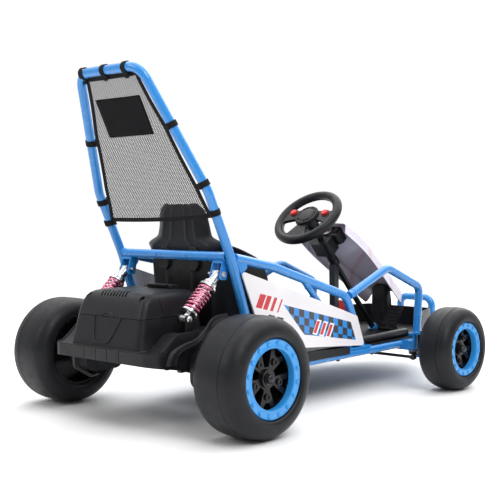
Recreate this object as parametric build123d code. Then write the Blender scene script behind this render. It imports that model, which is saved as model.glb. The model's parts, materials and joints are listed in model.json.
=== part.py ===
"""Children's ride-on electric go-kart: tubular steel chassis with roll hoop, running gear and controls.

Frame: +Y is the driving direction, +X the driver's right, +Z up, and the ground is z = 0.
Lengths are in millimetres. While it is modelled, y = 0 is the rear axle; save() then moves every
piece so that the origin is on the ground under the middle of the kart.
"""
from build123d import *
import os
from math import cos, hypot, radians, sin

# ---- driving dimensions ----
WHEELBASE = 739.0
REAR_R, REAR_W, REAR_OUT = 130.0, 131.0, 387.5      # tyre radius, width, x of its outer face
FRONT_R, FRONT_W, FRONT_OUT = 107.0, 94.0, 391.0
SHOULDER = 0.25                                     # tyre shoulder radius / tyre radius
RING_OUT, RING_IN = 0.66, 0.475                     # bead ring radii / tyre radius
RING_INSET = 6.0                                    # bead ring behind the tyre's outer face
REAR_END, FRONT_END = -152.0, 1091.0                # y of the kart's two ends
TUBE_D, TUBE_WALL = 22.0, 1.5
THIN_D = 16.0
HALF = 188.5                                        # x of the frame's side tubes
RAIL_Z = 106.0
HOOP_TOP = (103.0, -109.0, 791.0)
HOOP_BEND = (HALF, 7.0, 520.0)
BAR_Y, BAR_Z = 74.0, 373.0                          # cross bar behind the seat
HOOP_FOOT_Y = 158.0
KNEE = (490.0, 254.0)                               # y, z where side tube turns down
GUARD_PEAK, GUARD_BEND, GUARD_FOOT = (668.0, 315.0), (818.0, 254.0), (804.0, 126.0)
BUMPER_Y, BUMPER_HALF, BUMPER_TOP = 1080.0, 57.0, 195.0
NARROW_Y = 812.0                                    # the rails turn inwards here
WHEEL_C = Vector(0, 568, 450)                       # steering wheel centre
COLUMN_TILT = 41.5                                  # column from the vertical, degrees
STEER_R = 100.0
SHAFT_R = 8.0
CRANK = 32.0
KINGPIN_X, ARM = 250.0, 60.0
LINK_Z = 82.0
PIVOT_Y, PIVOT_Z = 185.0, 106.0                     # swing arm hinge
REAR_Z = REAR_R
SHOCK_X, SHOCK_TOP, SHOCK_LOW = 158.0, (63.0, 335.0), (-39.0, 243.0)
SPRING_R, WIRE_R, COILS = 17.0, 2.6, 6.5
HUB_FACE, NUT_GAP = -20.0, 0.5                       # hub face behind the tyre's outer face
RUN = 0.06                                          # running clearance, radial
PIN_R = 4.0
M8_LENGTH = 44.0
AXLE_R = 6.0
SEAM_Z, LID_TOP = 245.0, 299.0
ORIGIN_Y = (REAR_END + FRONT_END) / 2

os.makedirs("parts", exist_ok=True)


def save(name, *solids):
    """Write one node, its solids moved into the row's frame."""
    moved = [Location((0, -ORIGIN_Y, 0)) * s for shape in solids for s in shape.solids()]
    export_step(moved[0] if len(moved) == 1 else Compound(children=moved), f"parts/{name}.step")


def swept(points, bends, diameter):
    path = FilletPolyline(*points, radius=bends) if len(points) > 2 else Line(*points)
    return sweep(Plane(origin=path @ 0, z_dir=path % 0) * Circle(diameter / 2), path=path)


def pipe(points, bends=None, diameter=TUBE_D, wall=TUBE_WALL, cap=2.0):
    """Outside and inside of one bent tube; the inside stops short, so the ends are capped."""
    points = [Vector(p) for p in points]
    inner = list(points)
    inner[0] += (points[1] - points[0]).normalized() * cap
    inner[-1] += (points[-2] - points[-1]).normalized() * cap
    return swept(points, bends, diameter), swept(inner, bends, diameter - 2 * wall)


def weld(pipes, *plates):
    """One weldment: all tubes joined, hollow throughout, with its plates."""
    body = pipes[0][0]
    for outside, _ in pipes[1:]:
        body += outside
    for plate in plates:
        body += plate
    for _, inside in pipes:
        body -= inside
    return body


def mirror_x(shape):
    return mirror(shape, about=Plane.YZ)


def both(shape):
    return [shape, mirror_x(shape)]


def rod(a, b, radius):
    a, b = Vector(a), Vector(b)
    return Plane(origin=a, z_dir=b - a) * Cylinder(radius, (b - a).length, align=BASE)


def block(x, y, z):
    """Box between three pairs of limits."""
    return Pos(sum(x) / 2, sum(y) / 2, sum(z) / 2) * Box(x[1] - x[0], y[1] - y[0], z[1] - z[0])


def side_plate(outline, x0, x1, corner=0):
    """Flat plate in the side view: y, z outline, between two x values."""
    face = Polygon(*outline, align=None)
    if corner:
        face = fillet(face.vertices(), corner)
    return extrude(Plane(origin=(x0, 0, 0), x_dir=(0, 1, 0), z_dir=(1, 0, 0)) * face, x1 - x0, dir=(1, 0, 0))


BASE = (Align.CENTER, Align.CENTER, Align.MIN)
AXIS_UP = Vector(0, -sin(radians(COLUMN_TILT)), cos(radians(COLUMN_TILT)))
COLUMN = Plane(origin=WHEEL_C, x_dir=(1, 0, 0), z_dir=AXIS_UP)    # local -Z runs down the column


def column_point(t, out=0.0, x=0.0):
    """A point t down the column from the steering wheel, out away from the driver."""
    return COLUMN.from_local_coords((x, out, -t))


def column_cylinder(radius, t0, t1):
    return COLUMN * (Pos(0, 0, -t1) * Cylinder(radius, t1 - t0, align=BASE))


# ---- chassis frame ----
def rail_x(y):
    """x of a rail's centre line in the narrowing front part."""
    return HALF - (HALF - BUMPER_HALF) * (y - NARROW_Y) / (BUMPER_Y - NARROW_Y)


CROSS_REAR, CROSS_SEAT, CROSS_POST, CROSS_COLUMN = 216.0, 400.0, 678.0, 846.0
LOWER_BEARING = (432.0, 454.0)
BEAM_Y, BEAM_Z, BEAM_HALF_Y, BEAM_HALF_Z, BEAM_X = WHEELBASE, 104.0, 15.0, 13.0, 230.0
YOKE_Z = (74.0, 140.0)


def kingpin_yoke():
    """C-shaped bracket on the beam's end, open outwards."""
    outside = block((BEAM_X, KINGPIN_X + 16), (BEAM_Y - 14.3, BEAM_Y + 17), YOKE_Z)
    gap = block((BEAM_X + 5, KINGPIN_X + 40), (BEAM_Y - 40, BEAM_Y + 40), (YOKE_Z[0] + 5, YOKE_Z[1] - 5))
    bore = rod((KINGPIN_X, BEAM_Y, 0), (KINGPIN_X, BEAM_Y, 200), AXLE_R)
    return outside - gap - bore


def floor_frame():
    pipes = []
    for side in (1, -1):
        pipes.append(pipe([(side * HALF, 143, RAIL_Z), (side * HALF, NARROW_Y, RAIL_Z),
                           (side * BUMPER_HALF, BUMPER_Y, RAIL_Z)], 60))
    for y in (CROSS_REAR, CROSS_SEAT, CROSS_POST):
        pipes.append(pipe([(-HALF + 4, y, RAIL_Z), (HALF - 4, y, RAIL_Z)], diameter=THIN_D))
    for y in (CROSS_COLUMN, BUMPER_Y - 6):
        x = rail_x(y) - 2
        pipes.append(pipe([(-x, y, RAIL_Z), (x, y, RAIL_Z)], diameter=THIN_D))
    beam = block((-BEAM_X - 2, BEAM_X + 2), (BEAM_Y - BEAM_HALF_Y, BEAM_Y + BEAM_HALF_Y),
                 (BEAM_Z - BEAM_HALF_Z, BEAM_Z + BEAM_HALF_Z))
    beam -= block((-BEAM_X + 2, BEAM_X - 2), (BEAM_Y - BEAM_HALF_Y + 2, BEAM_Y + BEAM_HALF_Y - 2),
                  (BEAM_Z - BEAM_HALF_Z + 2, BEAM_Z + BEAM_HALF_Z - 2))
    plates = [beam] + both(kingpin_yoke())
    plates.append(column_cylinder(14, *LOWER_BEARING))
    for x in (-145, 145):
        for gap in (-18, 18):
            ear = side_plate([(CROSS_REAR, 96), (CROSS_REAR, 116), (PIVOT_Y - 2, 118), (PIVOT_Y - 12, 106),
                              (PIVOT_Y - 2, 94)], x + gap - 2, x + gap + 2)
            plates.append(ear)
    for side in (1, -1):
        plates.append(block(sorted((side * (HALF - 15), side * (HALF + 15))), (778, 830), (112, 128)))
        plates.append(block(sorted((side * (HALF - 11), side * (HALF + 11))), (488, 580), (115, 121)))
        plates.append(block(sorted((side * (HALF - 11), side * (HALF + 11))), (138, 184), (115, 121)))
    frame = weld(pipes, *plates)
    frame -= column_cylinder(SHAFT_R + RUN, LOWER_BEARING[0] - 5, LOWER_BEARING[1] + 5)
    frame -= rod((-190, PIVOT_Y, PIVOT_Z), (190, PIVOT_Y, PIVOT_Z), PIN_R)
    return frame


def hoop_points():
    side = [(HALF, HOOP_FOOT_Y, 121), (HALF, BAR_Y, BAR_Z), HOOP_BEND, HOOP_TOP]
    return side + [(-x, y, z) for x, y, z in reversed(side)]


HOOP_BENDS = [260, 70, 45, 45, 70, 260]
SEAT_BOLT_X = (-52.0, 52.0)


def roll_hoop():
    return weld([pipe(hoop_points(), HOOP_BENDS)])


def cross_bar():
    """Bar behind the seat, with a downward channel for each shock absorber."""
    bar = weld([pipe([(-HALF + TUBE_D / 2 + 1, BAR_Y, BAR_Z), (HALF - TUBE_D / 2 - 1, BAR_Y, BAR_Z)])])
    y, z = SHOCK_TOP
    outline = [(y - 12, z - 12), (y + 12, z - 14), (BAR_Y + 12, BAR_Z - 8), (BAR_Y - 10, BAR_Z - 8)]
    for side in (1, -1):
        for offset in (-15, 15):
            x = side * SHOCK_X + offset
            bar += side_plate(outline, x - 1.5, x + 1.5, 6)
        bar += block((side * SHOCK_X - 14, side * SHOCK_X + 14), (BAR_Y - 11, BAR_Y + 10),
                     (BAR_Z - 14, BAR_Z - 8))
        bar -= rod((side * SHOCK_X - 30, y, z), (side * SHOCK_X + 30, y, z), PIN_R)
    for x in SEAT_BOLT_X:
        bar -= rod((x, BAR_Y - 30, BAR_Z), (x, BAR_Y + 30, BAR_Z), 3)
    return bar


SIDE_POINTS = [(HALF, BAR_Y + 13, BAR_Z - 3), (HALF, 215, 343), (HALF, *KNEE), (HALF, 551, 117)]
SIDE_BENDS = [180, 48]


def side_tube_pipe():
    return pipe(SIDE_POINTS, SIDE_BENDS)


def guard_tube():
    points = [(HALF, 503, 254), (HALF, *GUARD_PEAK), (HALF, *GUARD_BEND), (HALF, GUARD_FOOT[0], 128)]
    return weld([pipe(points, [45, 26])])


def gusset():
    """Flared saddle that joins the side tube to the hoop's leg."""
    top = (BAR_Y + 8, BAR_Z - 2)
    outline = [top, (BAR_Y + 44, BAR_Z - 6), (BAR_Y + 46, BAR_Z - 26), (BAR_Y + 26, BAR_Z - 44)]
    return side_plate(outline, HALF - 8, HALF + 8, 4)


def bumper():
    x, y, r = BUMPER_HALF, BUMPER_Y, 26
    points = [(x, y, RAIL_Z), (x, y, BUMPER_TOP), (-x, y, BUMPER_TOP), (-x, y, RAIL_Z)]
    return weld([pipe(points, r)])


def above(shape, z):
    """What lies above a level: a tube's end cut flat on its foot plate."""
    return shape - block((-500, 500), (-500, 1500), (z - 60, z))


def m8_bolt(head, tip_direction):
    """Hexagon bolt, its head's inner face at a point."""
    shape = Cylinder(PIN_R, M8_LENGTH, align=BASE)
    shape += Pos(0, 0, -5) * extrude(RegularPolygon(7, 6), 5)
    return Plane(origin=head, z_dir=tip_direction) * shape


def m6_bolt(head, tip_direction):
    shape = Cylinder(3, 30, align=BASE) + Pos(0, 0, -4.5) * Cylinder(5.5, 4.5, align=BASE)
    return Plane(origin=head, z_dir=tip_direction) * shape


RAIL_BOLT_Y = (300.0, 455.0, 597.0, 766.0)


def rail_holes(shape):
    for y in RAIL_BOLT_Y:
        for side in (1, -1):
            shape -= rod((side * HALF, y, 60), (side * HALF, y, 126), 3)
    return shape


frame = rail_holes(floor_frame())
hoop_core = swept([Vector(p) for p in hoop_points()], HOOP_BENDS, TUBE_D)
tube_core = swept([Vector(p) for p in SIDE_POINTS], SIDE_BENDS, TUBE_D)
save("floor_frame", frame)
save("roll_hoop", above(roll_hoop(), 121))
save("cross_bar", cross_bar())
save("guard_tubes", *both(above(guard_tube() - tube_core, 128)))
brace_pipe = pipe([(HALF, 325, 304), (HALF, 505, 118)], diameter=THIN_D)
side_weldment = weld([side_tube_pipe(), brace_pipe], gusset())
save("side_tubes", *both(above(side_weldment - hoop_core, 121)))
save("front_bumper", above(bumper(), RAIL_Z + TUBE_D / 2))
save("m8_bolts", *both(m8_bolt((SHOCK_X + 16.5, *SHOCK_TOP), (-1, 0, 0))),
     *both(m8_bolt((145 + 20, PIVOT_Y, PIVOT_Z), (-1, 0, 0))))
seat_bolts = [m6_bolt((x, BAR_Y - TUBE_D / 2, BAR_Z), (0, 1, 0)) for x in SEAT_BOLT_X]
rail_bolts = [m6_bolt((x, y, RAIL_Z - TUBE_D / 2), (0, 0, 1)) for y in RAIL_BOLT_Y for x in (HALF, -HALF)]
save("frame_bolts", *seat_bolts, *rail_bolts)


# ---- wheels: local +Z points outwards along the axle, z = 0 is the tyre's outer face ----
def turned(outline):
    return revolve(Plane.XZ * make_face(Polyline(*outline, close=True)), axis=Axis.Z)


def tyre(radius, width):
    bead, shoulder, wall = RING_OUT * radius, SHOULDER * radius, 5.0
    outer = Polygon((bead, -7), (bead + 7, 0), (radius, 0), (radius, -width), (bead + 7, -width),
                    (bead, -width + 7), align=None)
    tread = [v for v in outer.vertices() if v.X > radius - 1]
    outer = fillet(tread, shoulder)
    inner = Polygon((bead - 5, -12), (bead + 9, -wall), (radius - wall, -wall), (radius - wall, wall - width),
                    (bead + 9, wall - width), (bead - 5, 12 - width), align=None)
    inner = fillet([v for v in inner.vertices() if v.X > radius - wall - 1], shoulder - wall)
    return revolve(Plane.XZ * (outer - inner), axis=Axis.Z)


def wedge_window(radius, inner, outer, half_angle_in, half_angle_out, thickness):
    """Window between two radii, with its own half angle at each end."""
    corners = []
    for r, angle in ((inner, -half_angle_in), (outer, -half_angle_out), (outer, half_angle_out),
                     (inner, half_angle_in)):
        corners.append((r * radius * cos(radians(angle)), r * radius * sin(radians(angle))))
    face = Polygon(*corners, align=None)
    face = fillet(face.vertices(), 0.022 * radius)
    return extrude(face, thickness)


def rim(radius, width):
    """Spoked wheel: barrel, disc with five forked spokes, lug bosses, hub and closed back."""
    barrel_out, barrel_in, lip = (RING_OUT - 0.004) * radius, 0.60 * radius, RING_IN * radius + 4.6
    body = turned([(barrel_in, -34), (lip, -34), (lip, -13), (barrel_out, -13), (barrel_out, 13 - width),
                   (barrel_in, 13 - width)])
    body += Pos(0, 0, -34) * Cylinder(barrel_in + 1, 8, align=BASE)
    for k in range(5):
        turn = Rot(0, 0, 90 + 72 * k)
        body -= turn * (Pos(0, 0, -36) * wedge_window(radius, 0.40, 0.525, 6, 13, 14))
        body -= turn * Rot(0, 0, 36) * (Pos(0, 0, -36) * wedge_window(radius, 0.19, 0.52, 16, 15, 14))
        body += turn * Pos(0.30 * radius, 0, -30) * Cylinder(0.055 * radius, 8, align=BASE)
        body -= turn * Pos(0.30 * radius, 0, -24) * Cylinder(0.034 * radius, 8, align=BASE)
    body += Pos(0, 0, 14 - width) * Cylinder(0.15 * radius, width - 34, align=BASE)
    body += Pos(0, 0, -0.6 * width) * Cylinder(barrel_in + 1, 3, align=BASE)
    return body - Pos(0, 0, -width - 5) * Cylinder(AXLE_R + RUN, width + 10, align=BASE)


def bead_ring(radius):
    """Painted ring over the bead, with raised bolt heads."""
    inner, outer = RING_IN * radius, (RING_OUT - 0.004) * radius
    face, back = -RING_INSET, -RING_INSET - 6
    body = turned([(inner, face - 2), (inner + 2.5, face), (outer - 2, face), (outer, face - 2), (outer, back),
                   (inner + 4, back), (inner + 4, -23), (inner, -23)])
    for k in range(16):
        place = Rot(0, 0, 22.5 * k) * Pos(0.58 * radius, 0, face)
        body += place * Cylinder(0.021 * radius, 1.4, align=BASE)
    return body


def nut(radius):
    """Domed wheel nut over the axle's end."""
    body = Cylinder(radius, 9, align=BASE) + Pos(0, 0, 9) * Cylinder(radius * 0.72, 4, align=BASE)
    return body - Cylinder(AXLE_R, 8, align=BASE)


def wheel_plane(side, out, y, z):
    return Plane(origin=(side * out, y, z), x_dir=(0, -side, 0), z_dir=(side, 0, 0))


for end, radius, width, out, y in (("rear", REAR_R, REAR_W, REAR_OUT, 0.0),
                                   ("front", FRONT_R, FRONT_W, FRONT_OUT, WHEELBASE)):
    pieces = {"tyre": tyre(radius, width), "rim": rim(radius, width), "ring": bead_ring(radius)}
    for side, hand in ((1, "right"), (-1, "left")):
        place = wheel_plane(side, out, y, radius)
        for name, piece in pieces.items():
            save(f"{end}_{name}_{hand}", place * piece)
        if end == "front":
            save(f"stub_nut_{hand}", place * (Pos(0, 0, HUB_FACE + NUT_GAP) * nut(10.5)))
save("rear_axle", rod((-REAR_OUT - HUB_FACE - 8, 0, REAR_Z), (REAR_OUT + HUB_FACE + 8, 0, REAR_Z), AXLE_R))
save("axle_nuts", *[wheel_plane(side, REAR_OUT, 0, REAR_Z) * (Pos(0, 0, HUB_FACE + NUT_GAP) * nut(12.5))
                    for side in (1, -1)])


# ---- front knuckles and track rod ----
def knuckle(drag_stud):
    """Right-hand knuckle: boss on the kingpin, stub axle outwards, steering arm to the rear."""
    x, y = KINGPIN_X, WHEELBASE
    body = rod((x, y, 80), (x, y, 134), 12)
    body += rod((x + 8, y, FRONT_R), (x + 24, y, FRONT_R), 13)
    body += rod((x + 20, y, FRONT_R), (FRONT_OUT + HUB_FACE + 8, y, FRONT_R), AXLE_R)
    arm = Polygon((x - 9, y), (x + 10, y), (x + 21, y - ARM + 2), (x + 15, y - ARM - 8), (x + 4, y - ARM - 6),
                  (x - 13, y - 46), (x - 13, y - 38), (x - 6, y - 22), (x - 5, y - 17), align=None)
    body += Pos(0, 0, 90) * extrude(arm, 7, dir=(0, 0, 1))
    body += rod((x + 12, y - ARM, 75), (x + 12, y - ARM, 92), PIN_R)
    if drag_stud:
        body += rod((x - 4, y - 42, 75), (x - 4, y - 42, 92), PIN_R)
    return body - rod((x, y, 60), (x, y, 160), AXLE_R + RUN)


def kingpin():
    pin = rod((KINGPIN_X, WHEELBASE, YOKE_Z[0] - 6), (KINGPIN_X, WHEELBASE, YOKE_Z[1] + 2), AXLE_R)
    return pin + Pos(KINGPIN_X, WHEELBASE, YOKE_Z[1]) * extrude(RegularPolygon(9, 6), 5)


ACCEL_X, ACCEL_HINGE = (47.0, 95.0), (832.0, 127.0)
BRAKE_X, BRAKE_HINGE = (-102.0, -54.0), (790.0, 127.0)
PEDAL_PIN_R = 3.0


def pedal_pin(x, hinge):
    return rod((x[0] - 5, *hinge), (x[1] + 5, *hinge), PEDAL_PIN_R)


def eye(centre, outer, bore, height):
    """Ring with an upright bore: its outside, and the bore to cut when the rest is joined."""
    x, y, z = centre
    ring = rod((x, y, z - height / 2), (x, y, z + height / 2), outer)
    return ring, rod((x, y, z - 20), (x, y, z + 20), bore)


def link(start, end, start_outer, start_bore, end_outer, end_bore, end_height):
    """Rod between two eyes."""
    ring_a, bore_a = eye(start, start_outer, start_bore, 9)
    ring_b, bore_b = eye(end, end_outer, end_bore, end_height)
    return rod(start, end, PIN_R) + ring_a + ring_b - bore_a - bore_b


save("knuckle_right", knuckle(False))
save("knuckle_left", mirror_x(knuckle(True)))
save("pivot_pins", *both(kingpin()), pedal_pin(ACCEL_X, ACCEL_HINGE), pedal_pin(BRAKE_X, BRAKE_HINGE))
ball_x, ball_y = KINGPIN_X + 12, WHEELBASE - ARM
save("track_rod", link((ball_x, ball_y, LINK_Z), (-ball_x, ball_y, LINK_Z),
                       9, PIN_R + RUN, 10, PIN_R + 2.2, 9))

# ---- steering column ----
HUB_T = (6.0, 40.0)                                 # wheel collar along the column
CRANK_T = (458.0, 466.0)
crank_end = column_point(482, -CRANK)
save("drag_link", link((4 - KINGPIN_X, WHEELBASE - 42, LINK_Z), (0, crank_end.Y, crank_end.Z),
                       6.8, PIN_R + RUN, 13.5, 9.8, 5))


def steering_shaft():
    shaft = column_cylinder(SHAFT_R, 8, 466) + column_cylinder(12, 457, 467)
    shaft += COLUMN * (Pos(0, -CRANK / 2, -(CRANK_T[0] + CRANK_T[1]) / 2) * Box(14, CRANK, 8))
    shaft += COLUMN * (Pos(0, -CRANK, -CRANK_T[1]) * Cylinder(7, 8, align=BASE))
    return shaft + COLUMN * (Pos(0, -CRANK, -491) * Cylinder(3, 27, align=BASE))


BUTTON_AT, BUTTON_R = (54.0, 12.0), 9.5


def sector(r0, r1, a0, a1):
    """Ring sector in the wheel's plane."""
    face = Circle(r1) - Circle(r0)
    reach = r1 * 3
    corners = [(0, 0), (reach * cos(radians(a0)), reach * sin(radians(a0))),
               (reach * cos(radians(a1)), reach * sin(radians(a1)))]
    return face & Polygon(*corners, align=None)


def steering_wheel():
    body = Cylinder(82, 9)
    upper = Circle(75) - Pos(0, -53) * Rectangle(200, 150) - Circle(33)
    body -= Pos(0, 0, -10) * extrude(upper, 20)
    for a0, a1 in ((196, 246), (294, 344)):
        body -= Pos(0, 0, -10) * extrude(fillet(sector(36, 74, a0, a1).vertices(), 5), 20)
    body += Torus(STEER_R - 12, 12)
    body += Pos(0, 0, -12) * Cylinder(34, 17, align=BASE)
    body += Pos(0, 0, -HUB_T[1]) * Cylinder(19, HUB_T[1] - HUB_T[0], align=BASE)
    for side in (1, -1):
        place = Pos(side * BUTTON_AT[0], BUTTON_AT[1], 0)
        body += place * (Pos(0, 0, -8) * Cylinder(13, 13, align=BASE))
        body -= place * (Pos(0, 0, -5) * Cylinder(BUTTON_R + 0.5, 20, align=BASE))
    return COLUMN * (body - Pos(0, 0, -60) * Cylinder(SHAFT_R, 52, align=BASE))


def hub_pad():
    plate = extrude(fillet(RegularPolygon(31, 6).vertices(), 6), 9)
    return COLUMN * (Pos(0, 0, 5) * chamfer(plate.faces().sort_by(Axis.Z)[-1].edges(), 3))


def horn_button(side):
    cap = Cylinder(BUTTON_R, 13, align=BASE)
    cap = fillet(cap.edges().sort_by(Axis.Z)[-1], 3)
    return COLUMN * (Pos(side * BUTTON_AT[0], BUTTON_AT[1], -1.5) * cap)


POST_Y, POST_HALF, TRAY_Z, TRAY_T = 678.0, 9.5, 117.6, 3.4
EYE_T = (156.0, 176.0)


def steering_post():
    """Square post on the floor, with the column's middle bearing on top."""
    base = TRAY_Z + TRAY_T
    post = block((-POST_HALF, POST_HALF), (POST_Y - POST_HALF, POST_Y + POST_HALF), (base, 318))
    post -= block((-8, 8), (POST_Y - 8, POST_Y + 8), (base + 3, 300))
    post += block((-30, 30), (POST_Y - 25, POST_Y + 25), (base, base + 3))
    post += column_cylinder(14, *EYE_T)
    return post - column_cylinder(SHAFT_R + RUN, EYE_T[0] - 20, EYE_T[1] + 20)


DASH_T, DASH_OUT, DASH_HALF = (78.0, 112.0), (12.0, 46.0), 52.0
METER_AT, ROCKER_AT, METER_R, ROCKER_R = (8.0, 30.0), (38.0, 30.0), 16.0, 8.0


def dash_housing():
    """Column cowl and instrument box, moulded in one."""
    cowl = Pos(0, 0, -(80 + 126) / 2) * Box(62, 46, 46)
    cowl = fillet(cowl.edges().filter_by(Axis.Z), 12)
    t0, t1 = DASH_T
    box = Pos(0, sum(DASH_OUT) / 2, -(t0 + t1) / 2) * Box(2 * DASH_HALF, DASH_OUT[1] - DASH_OUT[0], t1 - t0)
    box = chamfer(box.edges().filter_by(Axis.Z), 8)
    body = cowl + box + Pos(0, 0, -EYE_T[0] + 0.5) * Cylinder(13, 40, align=BASE)
    body -= Pos(METER_AT[0], METER_AT[1], -t0 - 3) * Cylinder(METER_R + 0.5, 6, align=BASE)
    body -= Pos(ROCKER_AT[0], ROCKER_AT[1], -t0) * (Rot(0, 90, 0) * Cylinder(ROCKER_R + 0.5, 13))
    return COLUMN * (body - Pos(0, 0, -200) * Cylinder(SHAFT_R + 0.4, 160, align=BASE))


def rocker():
    drum = Rot(0, 90, 0) * Cylinder(ROCKER_R, 12)
    for side in (1, -1):
        drum -= Rot(side * 12, 0, 0) * (Pos(0, side * 10, 14) * Box(20, 20, 20))
    return COLUMN * (Pos(ROCKER_AT[0], ROCKER_AT[1], -DASH_T[0]) * drum)


save("steering_shaft", steering_shaft())
save("steering_wheel", steering_wheel())
save("steering_hub_pad", hub_pad())
save("horn_button_right", horn_button(1))
save("horn_button_left", horn_button(-1))
save("steering_post", steering_post())
save("dash_housing", dash_housing())
meter = Pos(METER_AT[0], METER_AT[1], -DASH_T[0] - 3) * Cylinder(METER_R, 6, align=BASE)
save("dash_meter", COLUMN * meter)
save("gear_switch", rocker())


# ---- floor, pedals and body panels ----
def floor_tray():
    """Moulded floor: flat between the rails, skirts beside the seat, a toe box in front."""
    half = 172.0
    outline = [(-half, 198), (half, 198), (half, 835), (112, 990), (-112, 990), (-half, 835)]
    floor = Pos(0, 0, TRAY_Z) * extrude(Polygon(*outline, align=None), TRAY_T)
    tub = extrude(Polygon(*outline, align=None), 58) - extrude(offset(Polygon(*outline, align=None), -3), 58)
    wall = Pos(0, 0, TRAY_Z) * tub
    wall -= block((-300, 300), (150, 838), (TRAY_Z + 8, 300))
    body = floor + wall
    for side in (1, -1):
        body += block(sorted((side * (half - 1), side * 203.6)), (196, 486), (TRAY_Z, TRAY_Z + TRAY_T))
        body += block(sorted((side * (half - 1), side * 194)), (584, 774), (TRAY_Z, TRAY_Z + TRAY_T))
        skirt = side_plate([(196, 108), (486, 108), (486, 124), (196, 136)], HALF + 11.5, HALF + 15)
        body += skirt if side == 1 else mirror_x(skirt)
    for x, (y, z) in ((ACCEL_X, ACCEL_HINGE), (BRAKE_X, BRAKE_HINGE)):
        for edge, out in ((x[0], -1), (x[1], 1)):
            ear = block(sorted((edge + out, edge + 4.5 * out)), (y - 8, y + 8), (TRAY_Z, z + 7))
            body += ear
        body -= rod((x[0] - 20, y, z), (x[1] + 20, y, z), PEDAL_PIN_R)
    return rail_holes(body - column_cylinder(15.5, 410, 480))


def pedal(x, hinge, length, lean, pad_from):
    """Pedal leaning forward: tube round its pin, stem, and ribbed foot pad."""
    width = x[1] - x[0]
    plate = Pos(0, 0, (length + pad_from) / 2) * Box(width, 7, length - pad_from)
    for k in range(5):
        rib_z = pad_from + (length - pad_from) * (k + 0.7) / 5.4
        plate += Pos(0, -4, rib_z) * Box(width - 8, 2, 4)
    stem = Pos(0, 0, length / 2) * Box(14, 7, length - 8)
    boss = Rot(0, 90, 0) * Cylinder(6, width - 0.8)
    pin = Rot(0, 90, 0) * Cylinder(PEDAL_PIN_R + RUN, width + 10)
    return Pos((x[0] + x[1]) / 2, *hinge) * Rot(-lean, 0, 0) * (plate + stem + boss - pin)


def column_cover():
    y0, y1, z0 = 885, 917, TRAY_Z + TRAY_T + 0.2
    cover = side_plate([(y0, z0), (y1, z0), (y1, 196), (y1 - 14, 232), (y0, 232)], -28, 28)
    inside = [(y0 + 3, z0 - 1), (y1 - 3, z0 - 1), (y1 - 3, 195), (y1 - 16, 229), (y0 + 3, 229)]
    return cover - side_plate(inside, -25, 25)


PANEL = [(92, 342), (372, 251), (516, 202), (546, 123.5), (172, 156)]


def side_panel():
    return side_plate(PANEL, HALF + 11.7, HALF + 15.2, 7)


NOSE_TOP, NOSE_FOOT = Vector(0, 617, 408), Vector(0, 913, 190)
NOSE = ((0.0, 88.0, 37.0), (56.0, 98.0, 42.0), (120.0, 100.0, 47.0), (225.0, 84.0, 50.0), (366.0, 62.0, 42.0))


def nose_section(along, half, depth):
    run = (NOSE_FOOT - NOSE_TOP).normalized()
    plane = Plane(origin=NOSE_TOP + run * along, x_dir=(1, 0, 0), z_dir=run)
    top = -1 if plane.y_dir.Z > 0 else 1
    shape = Polygon((-half, 0), (half, 0), (half - 18, -top * depth), (18 - half, -top * depth), align=None)
    outer = [v for v in shape.vertices() if abs(v.Y) > 1]
    return plane * fillet(outer, 13)


def nose_panel():
    """Dished nose shield, open towards the driver."""
    outside = loft([nose_section(*s) for s in NOSE], ruled=True)
    cut = [(v - 2 if v == 0 else v, w - 3.5, d - 3) for v, w, d in NOSE[:-1]]
    cut.append((NOSE[-1][0] + 4, NOSE[-1][1] - 3.5, NOSE[-1][2] - 3))
    inward = (NOSE_FOOT - NOSE_TOP).normalized().cross(Vector(1, 0, 0))
    if inward.Z > 0:
        inward = inward * -1
    inside = loft([nose_section(*s) for s in cut], ruled=True)
    return outside - inside - Location(inward * 0.5) * inside


SEAT_OUTER = ((126.0, 104.0, 380.0, 124.0), (138.0, 102.0, 392.0, 131.0), (150.0, 99.0, 402.0, 152.0),
              (214.0, 96.0, 398.0, 161.0), (300.0, 94.0, 236.0, 160.0), (366.0, 91.0, 186.0, 150.0),
              (392.0, 90.0, 146.0, 122.0), (450.0, 89.0, 128.0, 86.0), (497.0, 90.0, 114.0, 68.0))
SEAT_INNER = ((136.0, 118.0, 290.0, 118.0), (150.0, 107.0, 322.0, 140.0), (180.0, 103.0, 358.0, 150.0),
              (206.0, 101.0, 388.0, 155.0), (214.0, 101.0, 460.0, 156.0), (300.0, 99.0, 300.0, 155.0),
              (366.0, 96.0, 260.0, 145.0), (392.0, 94.5, 220.0, 117.0), (450.0, 93.5, 200.0, 81.0),
              (499.0, 94.5, 170.0, 63.0))


def seat_section(z, y0, y1, half):
    return Pos(0, (y0 + y1) / 2, z) * RectangleRounded(2 * half, y1 - y0, min(9, (y1 - y0) / 2.5))


def seat_shell():
    shell = loft([seat_section(*s) for s in SEAT_OUTER], ruled=True)
    shell -= loft([seat_section(*s) for s in SEAT_INNER], ruled=True)
    front = BAR_Y + TUBE_D / 2 + 0.2
    for x in SEAT_BOLT_X:
        shell += block((x - 15, x + 15), (front, 95), (BAR_Z - 18, BAR_Z + 16))
        shell -= rod((x, 60, BAR_Z), (x, 110, BAR_Z), 3)
    return shell


save("floor_tray", floor_tray())
save("accelerator_pedal", pedal(ACCEL_X, ACCEL_HINGE, 72, 36, 8))
save("brake_pedal", pedal(BRAKE_X, BRAKE_HINGE, 78, 22, 38))
save("column_cover", column_cover())
save("side_panels", *both(side_panel()))
save("nose_panel", nose_panel())
save("seat_shell", seat_shell())


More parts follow.
